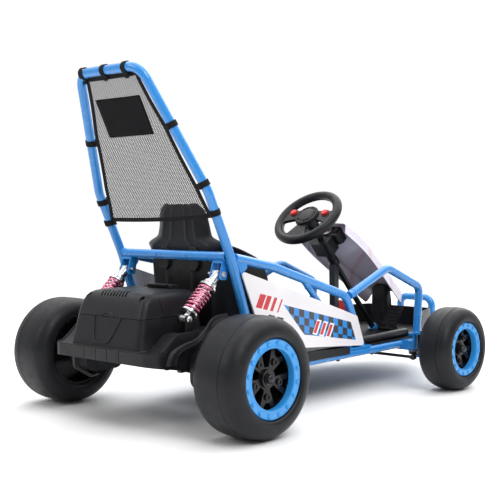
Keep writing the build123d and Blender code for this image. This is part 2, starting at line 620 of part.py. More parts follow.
# ---- mesh wind panel and its straps, in the plane of the hoop ----
HOOP_SLOPE = (HOOP_TOP[1] - HOOP_BEND[1]) / (HOOP_TOP[2] - HOOP_BEND[2])
MESH = ((783.0, 79.0), (458.0, 172.0))              # height and half width, top and bottom
STRAP_Z = (652.0, 516.0, 463.0)
STRAP_X = (-62.0, 0.0, 62.0)
STRAP_W, STRAP_T = 13.0, 1.6
strap_core = swept([Vector(p) for p in hoop_points()], HOOP_BENDS, TUBE_D + 0.1)
strap_skin = swept([Vector(p) for p in hoop_points()], HOOP_BENDS, TUBE_D + 2 * STRAP_T)


def hoop_y(z):
    return HOOP_BEND[1] + HOOP_SLOPE * (z - HOOP_BEND[2])


def leg_x(z):
    share = max(0, (z - HOOP_BEND[2]) / (HOOP_TOP[2] - HOOP_BEND[2]))
    return HALF + (HOOP_TOP[0] - HALF) * share


def mesh_panel():
    corners = []
    for z, half in MESH:
        corners.append(Vector(half, hoop_y(z), z))
    corners += [Vector(-p.X, p.Y, p.Z) for p in reversed(corners)]
    normal = (corners[1] - corners[0]).cross(Vector(1, 0, 0)).normalized()
    face = make_face(Polyline(*corners, close=True))
    return extrude(face, 1.0, dir=normal, both=True) - strap_skin


def straps():
    """Webbing loops round the hoop's top and legs."""
    webbing = strap_skin - strap_core
    loops = []
    for x in STRAP_X:
        loops.append(webbing & block((x - STRAP_W / 2, x + STRAP_W / 2), (-200, 0), (760, 820)))
    for z in STRAP_Z:
        for side in (1, -1):
            place = Plane(origin=(side * leg_x(z), hoop_y(z), z), z_dir=(0, HOOP_SLOPE, 1))
            slab = place * Box(60, 60, STRAP_W)
            loops.append(webbing & slab)
    return loops


save("mesh_panel", mesh_panel())
save("mesh_straps", *straps())


# ---- rear module: swing arm, tray, battery box, gear motors ----
ARM_X, ARM_HALF, EAR_GAP = 145.0, 9.0, 10.5
TRAY_HALF, TRAY_FRONT = 176.0, 75.0
REAR_TUBE = (-100.0, 156.0)


def swing_arm():
    """Steel fork from the hinge back past the axle, with the shock absorbers' lower brackets."""
    pieces = []
    for side in (1, -1):
        x = side * ARM_X
        outline = [(PIVOT_Y, PIVOT_Z - 10), (0, REAR_Z - 14), (REAR_TUBE[0], REAR_TUBE[1] - 12),
                   (REAR_TUBE[0] - 6, REAR_TUBE[1] + 6), (0, REAR_Z + 14), (PIVOT_Y, PIVOT_Z + 10)]
        pieces.append(side_plate(outline, x - ARM_HALF, x + ARM_HALF))
        pieces.append(rod((x - 15.5, PIVOT_Y, PIVOT_Z), (x + 15.5, PIVOT_Y, PIVOT_Z), 12))
        y, z = SHOCK_LOW
        for gap in (-EAR_GAP - 3, EAR_GAP):
            ear_x = side * SHOCK_X + gap
            outline = [(y - 13, 130), (y + 13, 130), (y + 9, z + 9), (y - 9, z + 9)]
            ear = side_plate(outline, ear_x, ear_x + 3, 4)
            pieces.append(ear)
        pieces.append(block((side * SHOCK_X - EAR_GAP - 3, side * SHOCK_X + EAR_GAP + 3), (y - 13, y + 13),
                            (126, 142)))
        pieces.append(rod((side * SHOCK_X - 13.5, y, z), (side * SHOCK_X + 13.5, y, z), PIN_R))
        pieces.append(torque_arm(side))
    pieces.append(rod((-168, *REAR_TUBE), (168, *REAR_TUBE), 9))
    body = pieces[0]
    for piece in pieces[1:]:
        body += piece
    body -= rod((-400, PIVOT_Y, PIVOT_Z), (400, PIVOT_Y, PIVOT_Z), PIN_R + RUN)
    return body - rod((-300, 0, REAR_Z), (300, 0, REAR_Z), AXLE_R)


def torque_arm(side):
    """Curved strap from the rear tube down to the gear motor's lower lug."""
    points = [(side * 160, -100, 150), (side * 168, -92, 112), (side * 190, -30, 80), (side * 196, -4, 82)]
    return swept([Vector(p) for p in points], [18, 14], 9)


def rear_tray():
    """Moulded tub over the swing arm, stepped up over the shock absorbers' feet."""
    bottom = [(REAR_END, 150), (-25, 128), (TRAY_FRONT, 112)]
    rear_round = 34.0

    def hull(inset, drop):
        low = [(REAR_END + inset, 150 - drop), (-25, 128 - drop), (TRAY_FRONT + drop, 112 - drop)]
        deck = side_plate(low + [(TRAY_FRONT + drop, 177 - inset), (REAR_END + inset, 177 - inset)],
                          inset - TRAY_HALF, TRAY_HALF - inset)
        hump = low + [(TRAY_FRONT + drop, 212 - inset), (-62 + inset, 212 - inset), (-105 + inset, 177 - inset),
                      (REAR_END + inset, 177 - inset)]
        for x0, x1 in ((124 + inset, TRAY_HALF - inset), (inset - TRAY_HALF, -124 - inset)):
            deck += side_plate(hump, x0, x1)
        corners = [e for e in deck.edges().filter_by(Axis.Z) if e.center().Y < REAR_END + inset + 1]
        return fillet(corners, rear_round - inset)

    body = hull(0, 0) - hull(3, 8)
    for side in (1, -1):
        y = SHOCK_LOW[0]
        notch = sorted((side * (SHOCK_X - 18), side * (SHOCK_X + 15.2)))
        body -= block(notch, (y - 17, y + 17), (180, 216))
        body -= rod((side * 100, 45, 165), (side * 200, 45, 165), 24)
        body -= rod((side * 160, 0, REAR_Z), (side * 200, 0, REAR_Z), 10)
        body -= block(sorted((side * 150, side * 200)), (-40, 12), (60, 131))
    for x in (-54, -27, 0, 27):
        body -= block((x - 1, x + 1), (REAR_END - 1, REAR_END + 1.2), (152, 176))
    return body


def box_section(z, half, y0, y1, corner):
    return Pos(0, (y0 + y1) / 2, z) * RectangleRounded(2 * half, y1 - y0, corner)


BOX_FLOOR = 177.2
WALL = 3.0


LID_HINGE, BARREL_R = (50.5, SEAM_Z + 0.5), 3.0
LID_BARRELS = ((-70.0, -50.0), (50.0, 70.0))


def box_base():
    outside = loft([box_section(BOX_FLOOR, 120, -137, 53, 15), box_section(SEAM_Z, 115.5, -125, 50, 15)],
                   ruled=True)
    inside = loft([box_section(BOX_FLOOR + WALL, 120 - WALL, -137 + WALL, 53 - WALL, 12),
                   box_section(SEAM_Z + 1, 115.5 - WALL, -125 + WALL, 50 - WALL, 12)], ruled=True)
    base = outside - inside
    for low, high in LID_BARRELS:
        base -= rod((low - 0.6, *LID_HINGE), (high + 0.6, *LID_HINGE), BARREL_R + 0.5)
    return base


LID_SECTIONS = ((SEAM_Z + 0.5, 115.5, -125.0, 50.0, 15.0), (280.0, 112.0, -113.0, 48.5, 16.0),
                (293.0, 106.0, -101.0, 45.0, 18.0), (LID_TOP, 96.0, -88.0, 39.0, 20.0))


def box_lid():
    outside = loft([box_section(*s) for s in LID_SECTIONS], ruled=True)
    inner = []
    for k, (z, half, y0, y1, corner) in enumerate(LID_SECTIONS):
        inner.append((z - (WALL if k else 1), half - WALL, y0 + WALL, y1 - WALL, corner - WALL))
    body = outside - loft([box_section(*s) for s in inner], ruled=True)
    for k in range(8):
        slot = Pos(-56 + 14 * k, -62, LID_TOP - 2) * Rot(0, 0, -28) * Box(3.2, 44, 12)
        body -= slot
    for low, high in LID_BARRELS:
        body += rod((low, *LID_HINGE), (high, *LID_HINGE), BARREL_R)
    return body


def battery():
    body = block((-92, 92), (-112, 12), (181, 240))
    return fillet(body.edges().filter_by(Axis.Z), 5)


def gear_motor():
    """Right-hand gearbox round the axle, with its motor inboard."""
    case = fillet(block((180.5, 246), (-48, 66), (90, 176)).edges().filter_by(Axis.X), 26)
    case += rod((122, 45, 165), (182, 45, 165), 21)
    return case - rod((100, 0, REAR_Z), (300, 0, REAR_Z), AXLE_R)


save("swing_arm", swing_arm())
save("rear_tray", rear_tray())
save("box_base", box_base())
save("box_lid", box_lid())
save("battery", battery())
save("controller", block((-50, 50), (18, 44), (181, 222)))
motor = gear_motor() - torque_arm(1)
save("gear_motors", *both(motor))


# ---- shock absorbers: distances run down from the top bolt ----
SHOCK_LENGTH = hypot(SHOCK_TOP[0] - SHOCK_LOW[0], SHOCK_TOP[1] - SHOCK_LOW[1])
UPPER_SEAT, LOWER_SEAT, BODY_END = 46.0, 118.0, 96.0


def shock_plane(side):
    down = Vector(0, SHOCK_LOW[0] - SHOCK_TOP[0], SHOCK_LOW[1] - SHOCK_TOP[1])
    return Plane(origin=(side * SHOCK_X, *SHOCK_TOP), x_dir=(1, 0, 0), z_dir=down)


def cross_pin(radius, length, at):
    return Pos(0, 0, at) * (Rot(0, 90, 0) * Cylinder(radius, length))


def shock_upper():
    body = cross_pin(9.5, 18, 0) + Cylinder(10.5, BODY_END, align=BASE)
    body += Pos(0, 0, UPPER_SEAT - 5) * Cylinder(20.5, 5, align=BASE)
    body -= Pos(0, 0, 26) * Cylinder(5 + RUN, 100, align=BASE)
    return body - cross_pin(PIN_R + RUN, 40, 0)


def shock_lower():
    body = Pos(0, 0, 52) * Cylinder(5, LOWER_SEAT - 50, align=BASE)
    body += Pos(0, 0, LOWER_SEAT) * Cylinder(20.5, 4, align=BASE)
    body += Pos(0, 0, LOWER_SEAT + 4) * Cylinder(7.5, 12, align=BASE)
    body += cross_pin(9, 18, SHOCK_LENGTH)
    return body - cross_pin(PIN_R + 0.5, 40, SHOCK_LENGTH)


def spring():
    height = LOWER_SEAT - UPPER_SEAT - 2 * WIRE_R - 0.6
    path = Helix(pitch=height / COILS, height=height, radius=SPRING_R)
    coil = sweep(Plane(origin=path @ 0, z_dir=path % 0) * Circle(WIRE_R), path=path)
    return Pos(0, 0, UPPER_SEAT + WIRE_R + 0.3) * coil


for side, hand in ((1, "right"), (-1, "left")):
    place = shock_plane(side)
    save(f"shock_upper_{hand}", place * shock_upper())
    save(f"shock_lower_{hand}", place * shock_lower())
    save(f"spring_{hand}", place * spring())
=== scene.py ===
"""Looks of the ride-on electric kart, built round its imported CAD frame.

+Y is the driving direction, +X the driver's right, +Z up, and the ground is z = 0. Sizes are in metres.
Places along the kart are measured from the rear axle: at(x, y, z) takes millimetres from there.
"""
import json
import random
from functools import partialmethod
from math import cos, pi, radians, sin

import bmesh
import bpy
from mathutils import Matrix, Vector


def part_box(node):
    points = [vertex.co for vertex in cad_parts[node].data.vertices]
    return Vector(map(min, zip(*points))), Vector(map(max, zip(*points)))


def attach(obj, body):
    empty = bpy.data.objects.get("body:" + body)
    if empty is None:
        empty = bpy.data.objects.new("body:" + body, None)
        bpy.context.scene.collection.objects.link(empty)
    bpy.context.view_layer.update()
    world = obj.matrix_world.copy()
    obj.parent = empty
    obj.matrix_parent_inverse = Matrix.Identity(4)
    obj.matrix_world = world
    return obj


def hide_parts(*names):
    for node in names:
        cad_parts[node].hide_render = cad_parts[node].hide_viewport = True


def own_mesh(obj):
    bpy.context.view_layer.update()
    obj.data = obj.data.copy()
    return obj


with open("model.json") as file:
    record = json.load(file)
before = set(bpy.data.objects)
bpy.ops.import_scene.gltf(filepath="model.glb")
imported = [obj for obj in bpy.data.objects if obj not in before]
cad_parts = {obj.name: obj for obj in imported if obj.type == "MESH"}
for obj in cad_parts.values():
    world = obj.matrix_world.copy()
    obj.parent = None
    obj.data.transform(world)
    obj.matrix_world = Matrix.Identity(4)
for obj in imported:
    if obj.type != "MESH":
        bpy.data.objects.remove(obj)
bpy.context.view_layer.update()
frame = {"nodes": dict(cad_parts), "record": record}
random.seed(7)

# ---- places taken from the frame ----
axle_low, axle_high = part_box("rear_tyre_right")
AXLE_Y = (axle_low.y + axle_high.y) / 2
SIDES = ((1, "right"), (-1, "left"))
COLUMN_TILT = radians(41.5)
WHEEL_CENTRE = Vector((0, AXLE_Y + 0.568, 0.450))
TUBE_R = 0.011
HALF = 188.5                                        # x of the frame's side tubes, mm
SEAM_Z = 245.0                                      # seam between battery box and lid, mm


def at(x, y, z):
    """A point in millimetres from the ground under the rear axle."""
    return Vector((x / 1000, AXLE_Y + y / 1000, z / 1000))


def collection_link(obj):
    bpy.context.scene.collection.objects.link(obj)
    return obj


# ======== materials ========
class Nodes:
    """A new material's shader, with short calls for what the looks need."""

    def __init__(self, name, color, roughness, metallic=0.0, coat=0.0, sheen=0.0, specular=0.5):
        self.material = bpy.data.materials.new(name)
        self.material.use_nodes = True
        self.tree = self.material.node_tree
        self.shader = self.tree.nodes["Principled BSDF"]
        self.fill(self.shader, Base_Color=(*color, 1), Roughness=roughness, Metallic=metallic, Coat_Weight=coat,
                  Coat_Roughness=0.12, Sheen_Weight=sheen, Specular_IOR_Level=specular)
        self.color, self.roughness = color, roughness

    def fill(self, node, **inputs):
        """Set or link a node's inputs, by index as in i0 or by name with _ for a space."""
        for key, value in inputs.items():
            socket = node.inputs[int(key[1:])] if key[1:].isdigit() else node.inputs[key.replace("_", " ")]
            if isinstance(value, bpy.types.NodeSocket):
                self.tree.links.new(value, socket)
            else:
                socket.default_value = value
        return node

    def add(self, kind, **inputs):
        return self.fill(self.tree.nodes.new(kind), **inputs)

    def link(self, output, socket):
        self.tree.links.new(output, self.shader.inputs[socket])

    def place(self):
        return self.add("ShaderNodeTexCoord").outputs["Object"]

    def xyz(self):
        return self.add("ShaderNodeSeparateXYZ", Vector=self.place()).outputs

    def threshold(self, value, level):
        return self.math("GREATER_THAN", value, level)

    def cloud(self, scale, detail):
        """Soft patches between 0 and 1."""
        return self.remap(self.noise(scale, detail), 0.3, 0.7, 0, 1)

    def math(self, operation, a, b=0.0):
        node = self.add("ShaderNodeMath", i0=a, i1=b)
        node.operation = operation
        return node.outputs[0]

    plus, minus = partialmethod(math, "ADD"), partialmethod(math, "SUBTRACT")
    times, over = partialmethod(math, "MULTIPLY"), partialmethod(math, "DIVIDE")
    sine = partialmethod(math, "SINE")

    def noise(self, scale, detail=3.0, stretch=None):
        where = self.place()
        if stretch:
            node = self.add("ShaderNodeVectorMath", i0=where, i1=stretch)
            node.operation = "MULTIPLY"
            where = node.outputs[0]
        return self.add("ShaderNodeTexNoise", Vector=where, Scale=scale, Detail=detail).outputs[0]

    def mix(self, factor, a, b):
        node = self.add("ShaderNodeMix")
        node.data_type = "RGBA"
        a, b = (c if isinstance(c, bpy.types.NodeSocket) else (*c, 1) for c in (a, b))
        return self.fill(node, i0=factor, i6=a, i7=b).outputs[2]

    def remap(self, value, low, high, new_low, new_high):
        return self.add("ShaderNodeMapRange", i0=value, i1=low, i2=high, i3=new_low, i4=new_high).outputs[0]

    def mottle(self, amount, scale):
        """Slight change of colour and gloss over the surface."""
        dark = [c * (1 - amount) for c in self.color]
        light = [min(1, c * (1 + amount)) for c in self.color]
        self.link(self.mix(self.cloud(scale, 5.0), dark, light), "Base Color")
        spread = 0.12 * self.roughness + 0.02
        rough = self.remap(self.noise(scale * 3, 4.0), 0.3, 0.7, self.roughness - spread, self.roughness + spread)
        self.link(rough, "Roughness")
        return self

    def bump(self, height, strength, distance):
        self.link(self.add("ShaderNodeBump", Strength=strength, Distance=distance, Height=height).outputs[0], "Normal")
        return self

    def grain(self, scale, strength, distance=0.0003):
        return self.bump(self.noise(scale, 2.0), strength, distance)


def lighten_convex_edges(nodes, edge_tone, share):
    """Turn the convex edges towards a lighter colour."""
    edge = nodes.remap(nodes.add("ShaderNodeNewGeometry").outputs["Pointiness"], 0.515, 0.56, 0, share)
    base = nodes.shader.inputs["Base Color"].links[0].from_socket
    nodes.link(nodes.mix(edge, base, edge_tone), "Base Color")
    return nodes


BLUE = (0.024, 0.245, 0.660)


def enamel(name, color, roughness=0.27, coat=0.5):
    nodes = Nodes(name, color, roughness, coat=coat).mottle(0.02, 4.0)
    return nodes.bump(nodes.noise(420.0, 2.0), 0.03, 0.0002).material


def plastic(name, color, roughness, scale=1100.0, strength=0.30):
    nodes = Nodes(name, color, roughness, specular=0.27).mottle(0.10, 18.0)
    return lighten_convex_edges(nodes, [c * 1.9 + 0.01 for c in color], 0.35).grain(scale, strength).material


def tyre_material():
    nodes = Nodes("tyre_foam", (0.009, 0.0095, 0.012), 0.44, specular=0.26).mottle(0.12, 22.0)
    return nodes.grain(1500.0, 0.35, 0.00025).material


def metal(name, color, roughness, scale=300.0):
    nodes = Nodes(name, color, roughness, metallic=1.0).mottle(0.10, 60.0)
    return nodes.bump(nodes.noise(scale, 3.0, (1.0, 1.0, 6.0)), 0.12, 0.0002).material


def half_plane(nodes, a, b, y, z):
    """1 on the left of the line from a to b, in the side view; y and z are sockets in millimetres."""
    (ay, az), (by, bz) = a, b
    across = nodes.times(nodes.minus(z, az), by - ay)
    along = nodes.times(nodes.minus(y, ay), bz - az)
    return nodes.threshold(nodes.minus(across, along), 0.0)


def polygon_mask(nodes, corners, y, z):
    """1 inside a convex outline, its corners listed against the clock."""
    inside = None
    for a, b in zip(corners, corners[1:] + corners[:1]):
        part = half_plane(nodes, a, b, y, z)
        inside = part if inside is None else nodes.times(inside, part)
    return inside


def slash(y0, z0, width, height, lean=0.55, slope=-0.25):
    """A slanted bar that follows the panel's downward slope."""
    low = [(y0, z0), (y0 + width, z0 + slope * width)]
    return low + [(y + lean * height, z + height) for y, z in reversed(low)]


CHEQUER = [(307.0, 176.0), (510.0, 141.0), (489.0, 189.0), (234.0, 254.0)]
SQUARE = 18.5


def panel_material():
    """White panel with a chequered strip and slanted bars, printed on its outer face."""
    nodes = Nodes("panel_white", (0.66, 0.645, 0.675), 0.30, coat=0.2)
    place = nodes.xyz()
    y = nodes.times(nodes.minus(place[1], AXLE_Y), 1000.0)
    z = nodes.times(place[2], 1000.0)
    color = nodes.mix(nodes.cloud(7.0, 4.0), (0.76, 0.735, 0.77), (0.85, 0.83, 0.85))
    (y0, z0), (y1, z1) = CHEQUER[3], CHEQUER[2]
    slope = (z1 - z0) / (y1 - y0)
    line = nodes.plus(nodes.times(nodes.minus(y, y0), slope), z0)
    column = nodes.math("FLOOR", nodes.over(nodes.minus(y, y0), SQUARE))
    row = nodes.math("FLOOR", nodes.over(nodes.minus(z, line), SQUARE))
    odd = nodes.math("PINGPONG", nodes.plus(column, row), 1.0)
    chequers = nodes.mix(odd, (0.035, 0.035, 0.045), BLUE)
    color = nodes.mix(polygon_mask(nodes, CHEQUER, y, z), color, chequers)
    red, white = (0.60, 0.02, 0.03), (0.86, 0.85, 0.87)
    for k in range(3):
        edge = slash(338 + 25 * k, 174 - 6.5 * k, 17, 34)
        core = slash(341.5 + 25 * k, 177 - 6.7 * k, 10.5, 27.5)
        color = nodes.mix(polygon_mask(nodes, edge, y, z), color, white)
        color = nodes.mix(polygon_mask(nodes, core, y, z), color, red)
    for k, width in enumerate((20, 15, 10, 5)):
        bar = slash(138 + 24 * k, 256 - 6 * k, width, 30)
        color = nodes.mix(polygon_mask(nodes, bar, y, z), color, red)
    for k in range(2):
        bar = slash(180 + 30 * k, 232 - 8 * k, 22, 4)
        color = nodes.mix(polygon_mask(nodes, bar, y, z), color, (0.03, 0.03, 0.04))
    nodes.link(color, "Base Color")
    return nodes.bump(nodes.noise(320.0, 2.0), 0.06, 0.0002).material


def nose_material():
    """White shell painted lilac-grey all over as painted shade for its shaded inside, with faint pale red slanted bars.
    """
    nodes = Nodes("nose_white", (0.70, 0.665, 0.76), 0.34, coat=0.35)
    place = nodes.xyz()
    band = nodes.plus(nodes.times(place[1], 9.0), nodes.times(place[0], 7.0))
    stripes = nodes.threshold(nodes.math("FRACT", band), 0.86)
    # painted shade: lilac-grey patches stand in for the shadow inside the white shell
    color = nodes.mix(nodes.cloud(6.0, 3.0), (0.66, 0.62, 0.73), (0.75, 0.71, 0.80))
    nodes.link(nodes.mix(nodes.times(stripes, 0.35), color, (0.62, 0.30, 0.34)), "Base Color")
    return nodes.bump(nodes.noise(300.0, 2.0), 0.06, 0.0002).material


NET_PITCH, THREAD = 0.0062, 0.29


def net_material():
    """Open knitted net: threads round diamond holes, see-through between them."""
    nodes = Nodes("net", (0.012, 0.012, 0.014), 0.75, sheen=0.05, specular=0.3)
    place = nodes.xyz()
    x = nodes.over(place[0], NET_PITCH)
    z = nodes.over(place[2], NET_PITCH * 0.92)
    down = nodes.math("PINGPONG", nodes.plus(x, z), 0.5)
    up = nodes.math("PINGPONG", nodes.minus(x, z), 0.5)
    thread = nodes.math("MAXIMUM", down, up)
    nodes.link(nodes.threshold(thread, THREAD), "Alpha")
    nodes.link(nodes.mix(nodes.noise(60.0, 3.0), (0.006, 0.006, 0.007), (0.020, 0.020, 0.023)), "Base Color")
    return nodes.bump(thread, 0.5, 0.0008).material


def cloth_material(name, color, pitch):
    """Close weave: two sets of crossing ribs, with painted highlight on their tops and painted shade between them."""
    nodes = Nodes(name, color, 0.82, sheen=0.02, specular=0.18)
    place = nodes.xyz()
    x = nodes.plus(place[0], place[1])
    ribs = nodes.sine(nodes.times(x, 2 * pi / pitch))
    cross = nodes.sine(nodes.times(place[2], 2 * pi / pitch))
    weave = nodes.times(ribs, cross)
    # painted highlight and shade: colour follows the weave's relief, lighter on the ribs and darker between them
    shade = nodes.remap(weave, -1, 1, 0, 1)
    nodes.link(nodes.mix(shade, [c * 0.6 for c in color], [c * 1.6 for c in color]), "Base Color")
    return nodes.bump(weave, 0.5, pitch * 0.2).material


def dial_material():
    """Dark meter face with a red ring of tick marks round a pale centre, and no figures."""
    nodes = Nodes("dial", (0.02, 0.02, 0.022), 0.18, coat=0.8)
    low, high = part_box("dash_meter")
    away = nodes.add("ShaderNodeVectorMath", i0=nodes.place(), i1=tuple((low + high) / 2))
    away.operation = "SUBTRACT"
    length = nodes.add("ShaderNodeVectorMath", i0=away.outputs[0])
    length.operation = "LENGTH"
    radius = length.outputs["Value"]
    split = nodes.add("ShaderNodeSeparateXYZ", Vector=away.outputs[0])
    angle = nodes.math("ARCTAN2", split.outputs[2], split.outputs[0])
    ticks = nodes.threshold(nodes.sine(nodes.times(angle, 24.0)), 0.5)
    ring = nodes.math("COMPARE", radius, 0.0125)
    ring.node.inputs[2].default_value = 0.0013
    dot = nodes.math("LESS_THAN", radius, 0.0022)
    color = nodes.mix(nodes.times(ticks, ring), (0.02, 0.02, 0.022), (0.75, 0.10, 0.12))
    nodes.link(nodes.mix(dot, color, (0.6, 0.6, 0.62)), "Base Color")
    return nodes.material


MATERIALS = {
    "frame_blue": enamel("blue_enamel", BLUE),
    "ring_blue": enamel("blue_ring", (0.034, 0.300, 0.720), 0.34, 0.2),
    "tyre_black": tyre_material(),
    "plastic_black": plastic("black_plastic", (0.0095, 0.0098, 0.012), 0.42),
    "plastic_gloss": plastic("gloss_black", (0.006, 0.006, 0.007), 0.24, 500.0, 0.10),
    "panel_white": panel_material(),
    "red": plastic("red_plastic", (0.62, 0.022, 0.020), 0.30, 700.0, 0.10),
    "mesh": net_material(),
    "webbing": cloth_material("black_webbing", (0.008, 0.008, 0.009), 0.0018),
    "steel_black": enamel("black_enamel", (0.005, 0.005, 0.006), 0.36, 0.05),
    "zinc": metal("zinc", (0.62, 0.62, 0.64), 0.32),
    "alloy": metal("alloy", (0.74, 0.74, 0.76), 0.26),
    "spring_red": metal("spring_pink", (0.90, 0.30, 0.44), 0.26),
    "battery_case": plastic("battery_case", (0.06, 0.065, 0.08), 0.5),
}
PATCH = cloth_material("patch_cloth", (0.003, 0.003, 0.004), 0.0026)
NOSE = nose_material()
DIAL = dial_material()


# ======== mesh tools ========
X_AXIS, Z_AXIS = Vector((1, 0, 0)), Vector((0, 0, 1))


def clean_mesh(name, points, faces, weld=True):
    """A mesh from points and faces, with its normals outward."""
    mesh = bpy.data.meshes.new(name)
    mesh.from_pydata([tuple(p) for p in points], [], faces)
    tidy = bmesh.new()
    tidy.from_mesh(mesh)
    if weld:
        bmesh.ops.remove_doubles(tidy, verts=tidy.verts, dist=1e-6)
    bmesh.ops.recalc_face_normals(tidy, faces=tidy.faces)
    tidy.to_mesh(mesh)
    tidy.free()
    return mesh


def mesh_object(name, points, faces, slot, body, replaces=(), material=None, sharp=38.0):
    """A finished piece: mesh, smooth shading, material, and the body that it rides on."""
    mesh = clean_mesh(name, points, faces)
    for polygon in mesh.polygons:
        polygon.use_smooth = True
    mesh.set_sharp_from_angle(angle=radians(sharp))
    mesh.materials.append(material or MATERIALS[slot])
    obj = collection_link(bpy.data.objects.new(name, mesh))
    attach(obj, body)
    if replaces:
        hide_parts(*replaces)
    return obj


def moulded(name, shape, body, replaces=(), sharp=38.0):
    return mesh_object(name, *shape, "plastic_black", body, replaces, sharp=sharp)


def skin(rings, closed=True, caps=False, cap_first=False, cap_last=False):
    """Points and faces of a skin through rings of equal length."""
    count = len(rings[0])
    points = [p for ring in rings for p in ring]
    faces = []
    for r in range(len(rings) - 1):
        for k in range(count if closed else count - 1):
            n = (k + 1) % count
            faces.append((r * count + k, r * count + n, (r + 1) * count + n, (r + 1) * count + k))
    if caps or cap_first:
        faces.append(tuple(reversed(range(count))))
    if caps or cap_last:
        faces.append(tuple(range((len(rings) - 1) * count, len(rings) * count)))
    return points, faces


def turned(profile, centre, count, axis=X_AXIS):
    """Points and faces of a section (along, radius) turned about an axis through centre."""
    across = axis.orthogonal().normalized()
    other = axis.cross(across)
    rings = []
    for k in range(count):
        away = across * cos(2 * pi * k / count) + other * sin(2 * pi * k / count)
        rings.append([centre + axis * u + away * r for u, r in profile])
    return skin(rings + rings[:1])


def disc(centre, half, radius, axis=X_AXIS, base=None):
    """Points and faces of a round cutter or cup, from -half (or base) to half along its axis."""
    low = -half if base is None else base
    return turned([(low, 0.0001), (half, 0.0001), (half, radius), (low, radius)], centre, 24, axis)


def arc(cx, cy, radius, start, end, steps):
    return [(cx + radius * cos(radians(start + (end - start) * k / steps)),
             cy + radius * sin(radians(start + (end - start) * k / steps))) for k in range(steps + 1)]


def headings(path):
    """Direction of a path at each of its points."""
    return [(b - a).normalized() for a, b in zip(path[:1] + path, path[1:] + path[-1:])]


def tube_skin(path, radius, count):
    """Points and faces of a round tube along a list of points."""
    rings = []
    normal = None
    for p, ahead in zip(path, headings(path)):
        if normal is None:
            normal = ahead.orthogonal().normalized()
        normal = (normal - ahead * normal.dot(ahead)).normalized()
        side = ahead.cross(normal)
        rings.append([p + normal * radius * cos(2 * pi * j / count) + side * radius * sin(2 * pi * j / count)
                      for j in range(count)])
    return skin(rings, caps=True)


def join(*parts):
    """One list of points and faces from several."""
    points, faces = [], []
    for some, more in parts:
        base = len(points)
        points += some
        faces += [tuple(base + k for k in face) for face in more]
    return points, faces


def modifier(obj, kind, **values):
    made = obj.modifiers.new(kind.lower(), kind)
    for key, value in values.items():
        setattr(made, key, value)


def soften(obj, width=0.0008, segments=2, angle=34.0):
    """Round the edges a little, as moulding and paint do."""
    modifier(obj, "WELD", merge_threshold=0.00002)
    modifier(obj, "BEVEL", width=width, segments=segments, limit_method="ANGLE", angle_limit=radians(angle),
             use_clamp_overlap=True)
    modifier(obj, "WEIGHTED_NORMAL", keep_sharp=False)


def cut(obj, *parts):
    """Cut closed shapes out of a piece."""
    cutter = collection_link(bpy.data.objects.new("cutter", clean_mesh("cutter", *join(*parts), weld=False)))
    modifier(obj, "BOOLEAN", operation="DIFFERENCE", object=cutter, solver="EXACT", use_self=True)
    graph = bpy.context.evaluated_depsgraph_get()
    made, old = bpy.data.meshes.new_from_object(obj.evaluated_get(graph)), obj.data
    obj.modifiers.clear()
    obj.data = made
    bpy.data.meshes.remove(old)
    bpy.data.objects.remove(cutter)


def box_shape(centre, size, turn=None):
    """Points and faces of a box, turned about its centre."""
    turn = turn or Matrix.Identity(3)
    ends = (-0.5, 0.5)
    points = [centre + turn @ Vector((a * size[0], b * size[1], c * size[2])) for a in ends for b in ends for c in ends]
    faces = [(0, 1, 3, 2), (4, 6, 7, 5), (0, 4, 5, 1), (2, 3, 7, 6), (0, 2, 6, 4), (1, 5, 7, 3)]
    return points, faces


def dome(centre, direction, radius, height, count=20, sides=None):
    """Points and faces of a domed screw head; sides=6 gives it a hexagon below the dome."""
    direction = Vector(direction).normalized()
    a = direction.orthogonal().normalized()
    b = direction.cross(a)
    rings = []
    steps = ((1.0, 0.0), (1.0, 0.35), (0.93, 0.62), (0.72, 0.86), (0.36, 0.98), (0.05, 1.0))
    for share, lift in steps:
        ring = []
        for k in range(count):
            angle = 2 * pi * k / count
            r = radius * share
            if sides and share == 1.0:
                r *= cos(pi / sides) / cos((angle % (2 * pi / sides)) - pi / sides) / cos(pi / sides)
            ring.append(centre + a * r * cos(angle) + b * r * sin(angle) + direction * height * lift)
        rings.append(ring)
    return skin(rings, caps=True)


# ======== carried-over CAD nodes ========
SLOT_OF = {s["node"]: s["material_slot"] for s in frame["record"]["subparts"]}
SOFTENED = {"steering_wheel": 0.0022, "dash_housing": 0.0015, "gear_switch": 0.0006, "accelerator_pedal": 0.0008,
            "brake_pedal": 0.0008, "floor_tray": 0.0008, "side_panels": 0.0009, "gear_motors": 0.0015,
            "steering_post": 0.0009, "cross_bar": 0.0007, "battery": 0.001, "controller": 0.001}
for end in ("front", "rear"):
    for _, hand in SIDES:
        SOFTENED[f"{end}_rim_{hand}"] = 0.0007
for name, node in frame["nodes"].items():
    node.data.materials.clear()
    node.data.materials.append(MATERIALS[SLOT_OF[name]])
    if name in SOFTENED:
        soften(node, SOFTENED[name])
frame["nodes"]["dash_meter"].data.materials[0] = DIAL


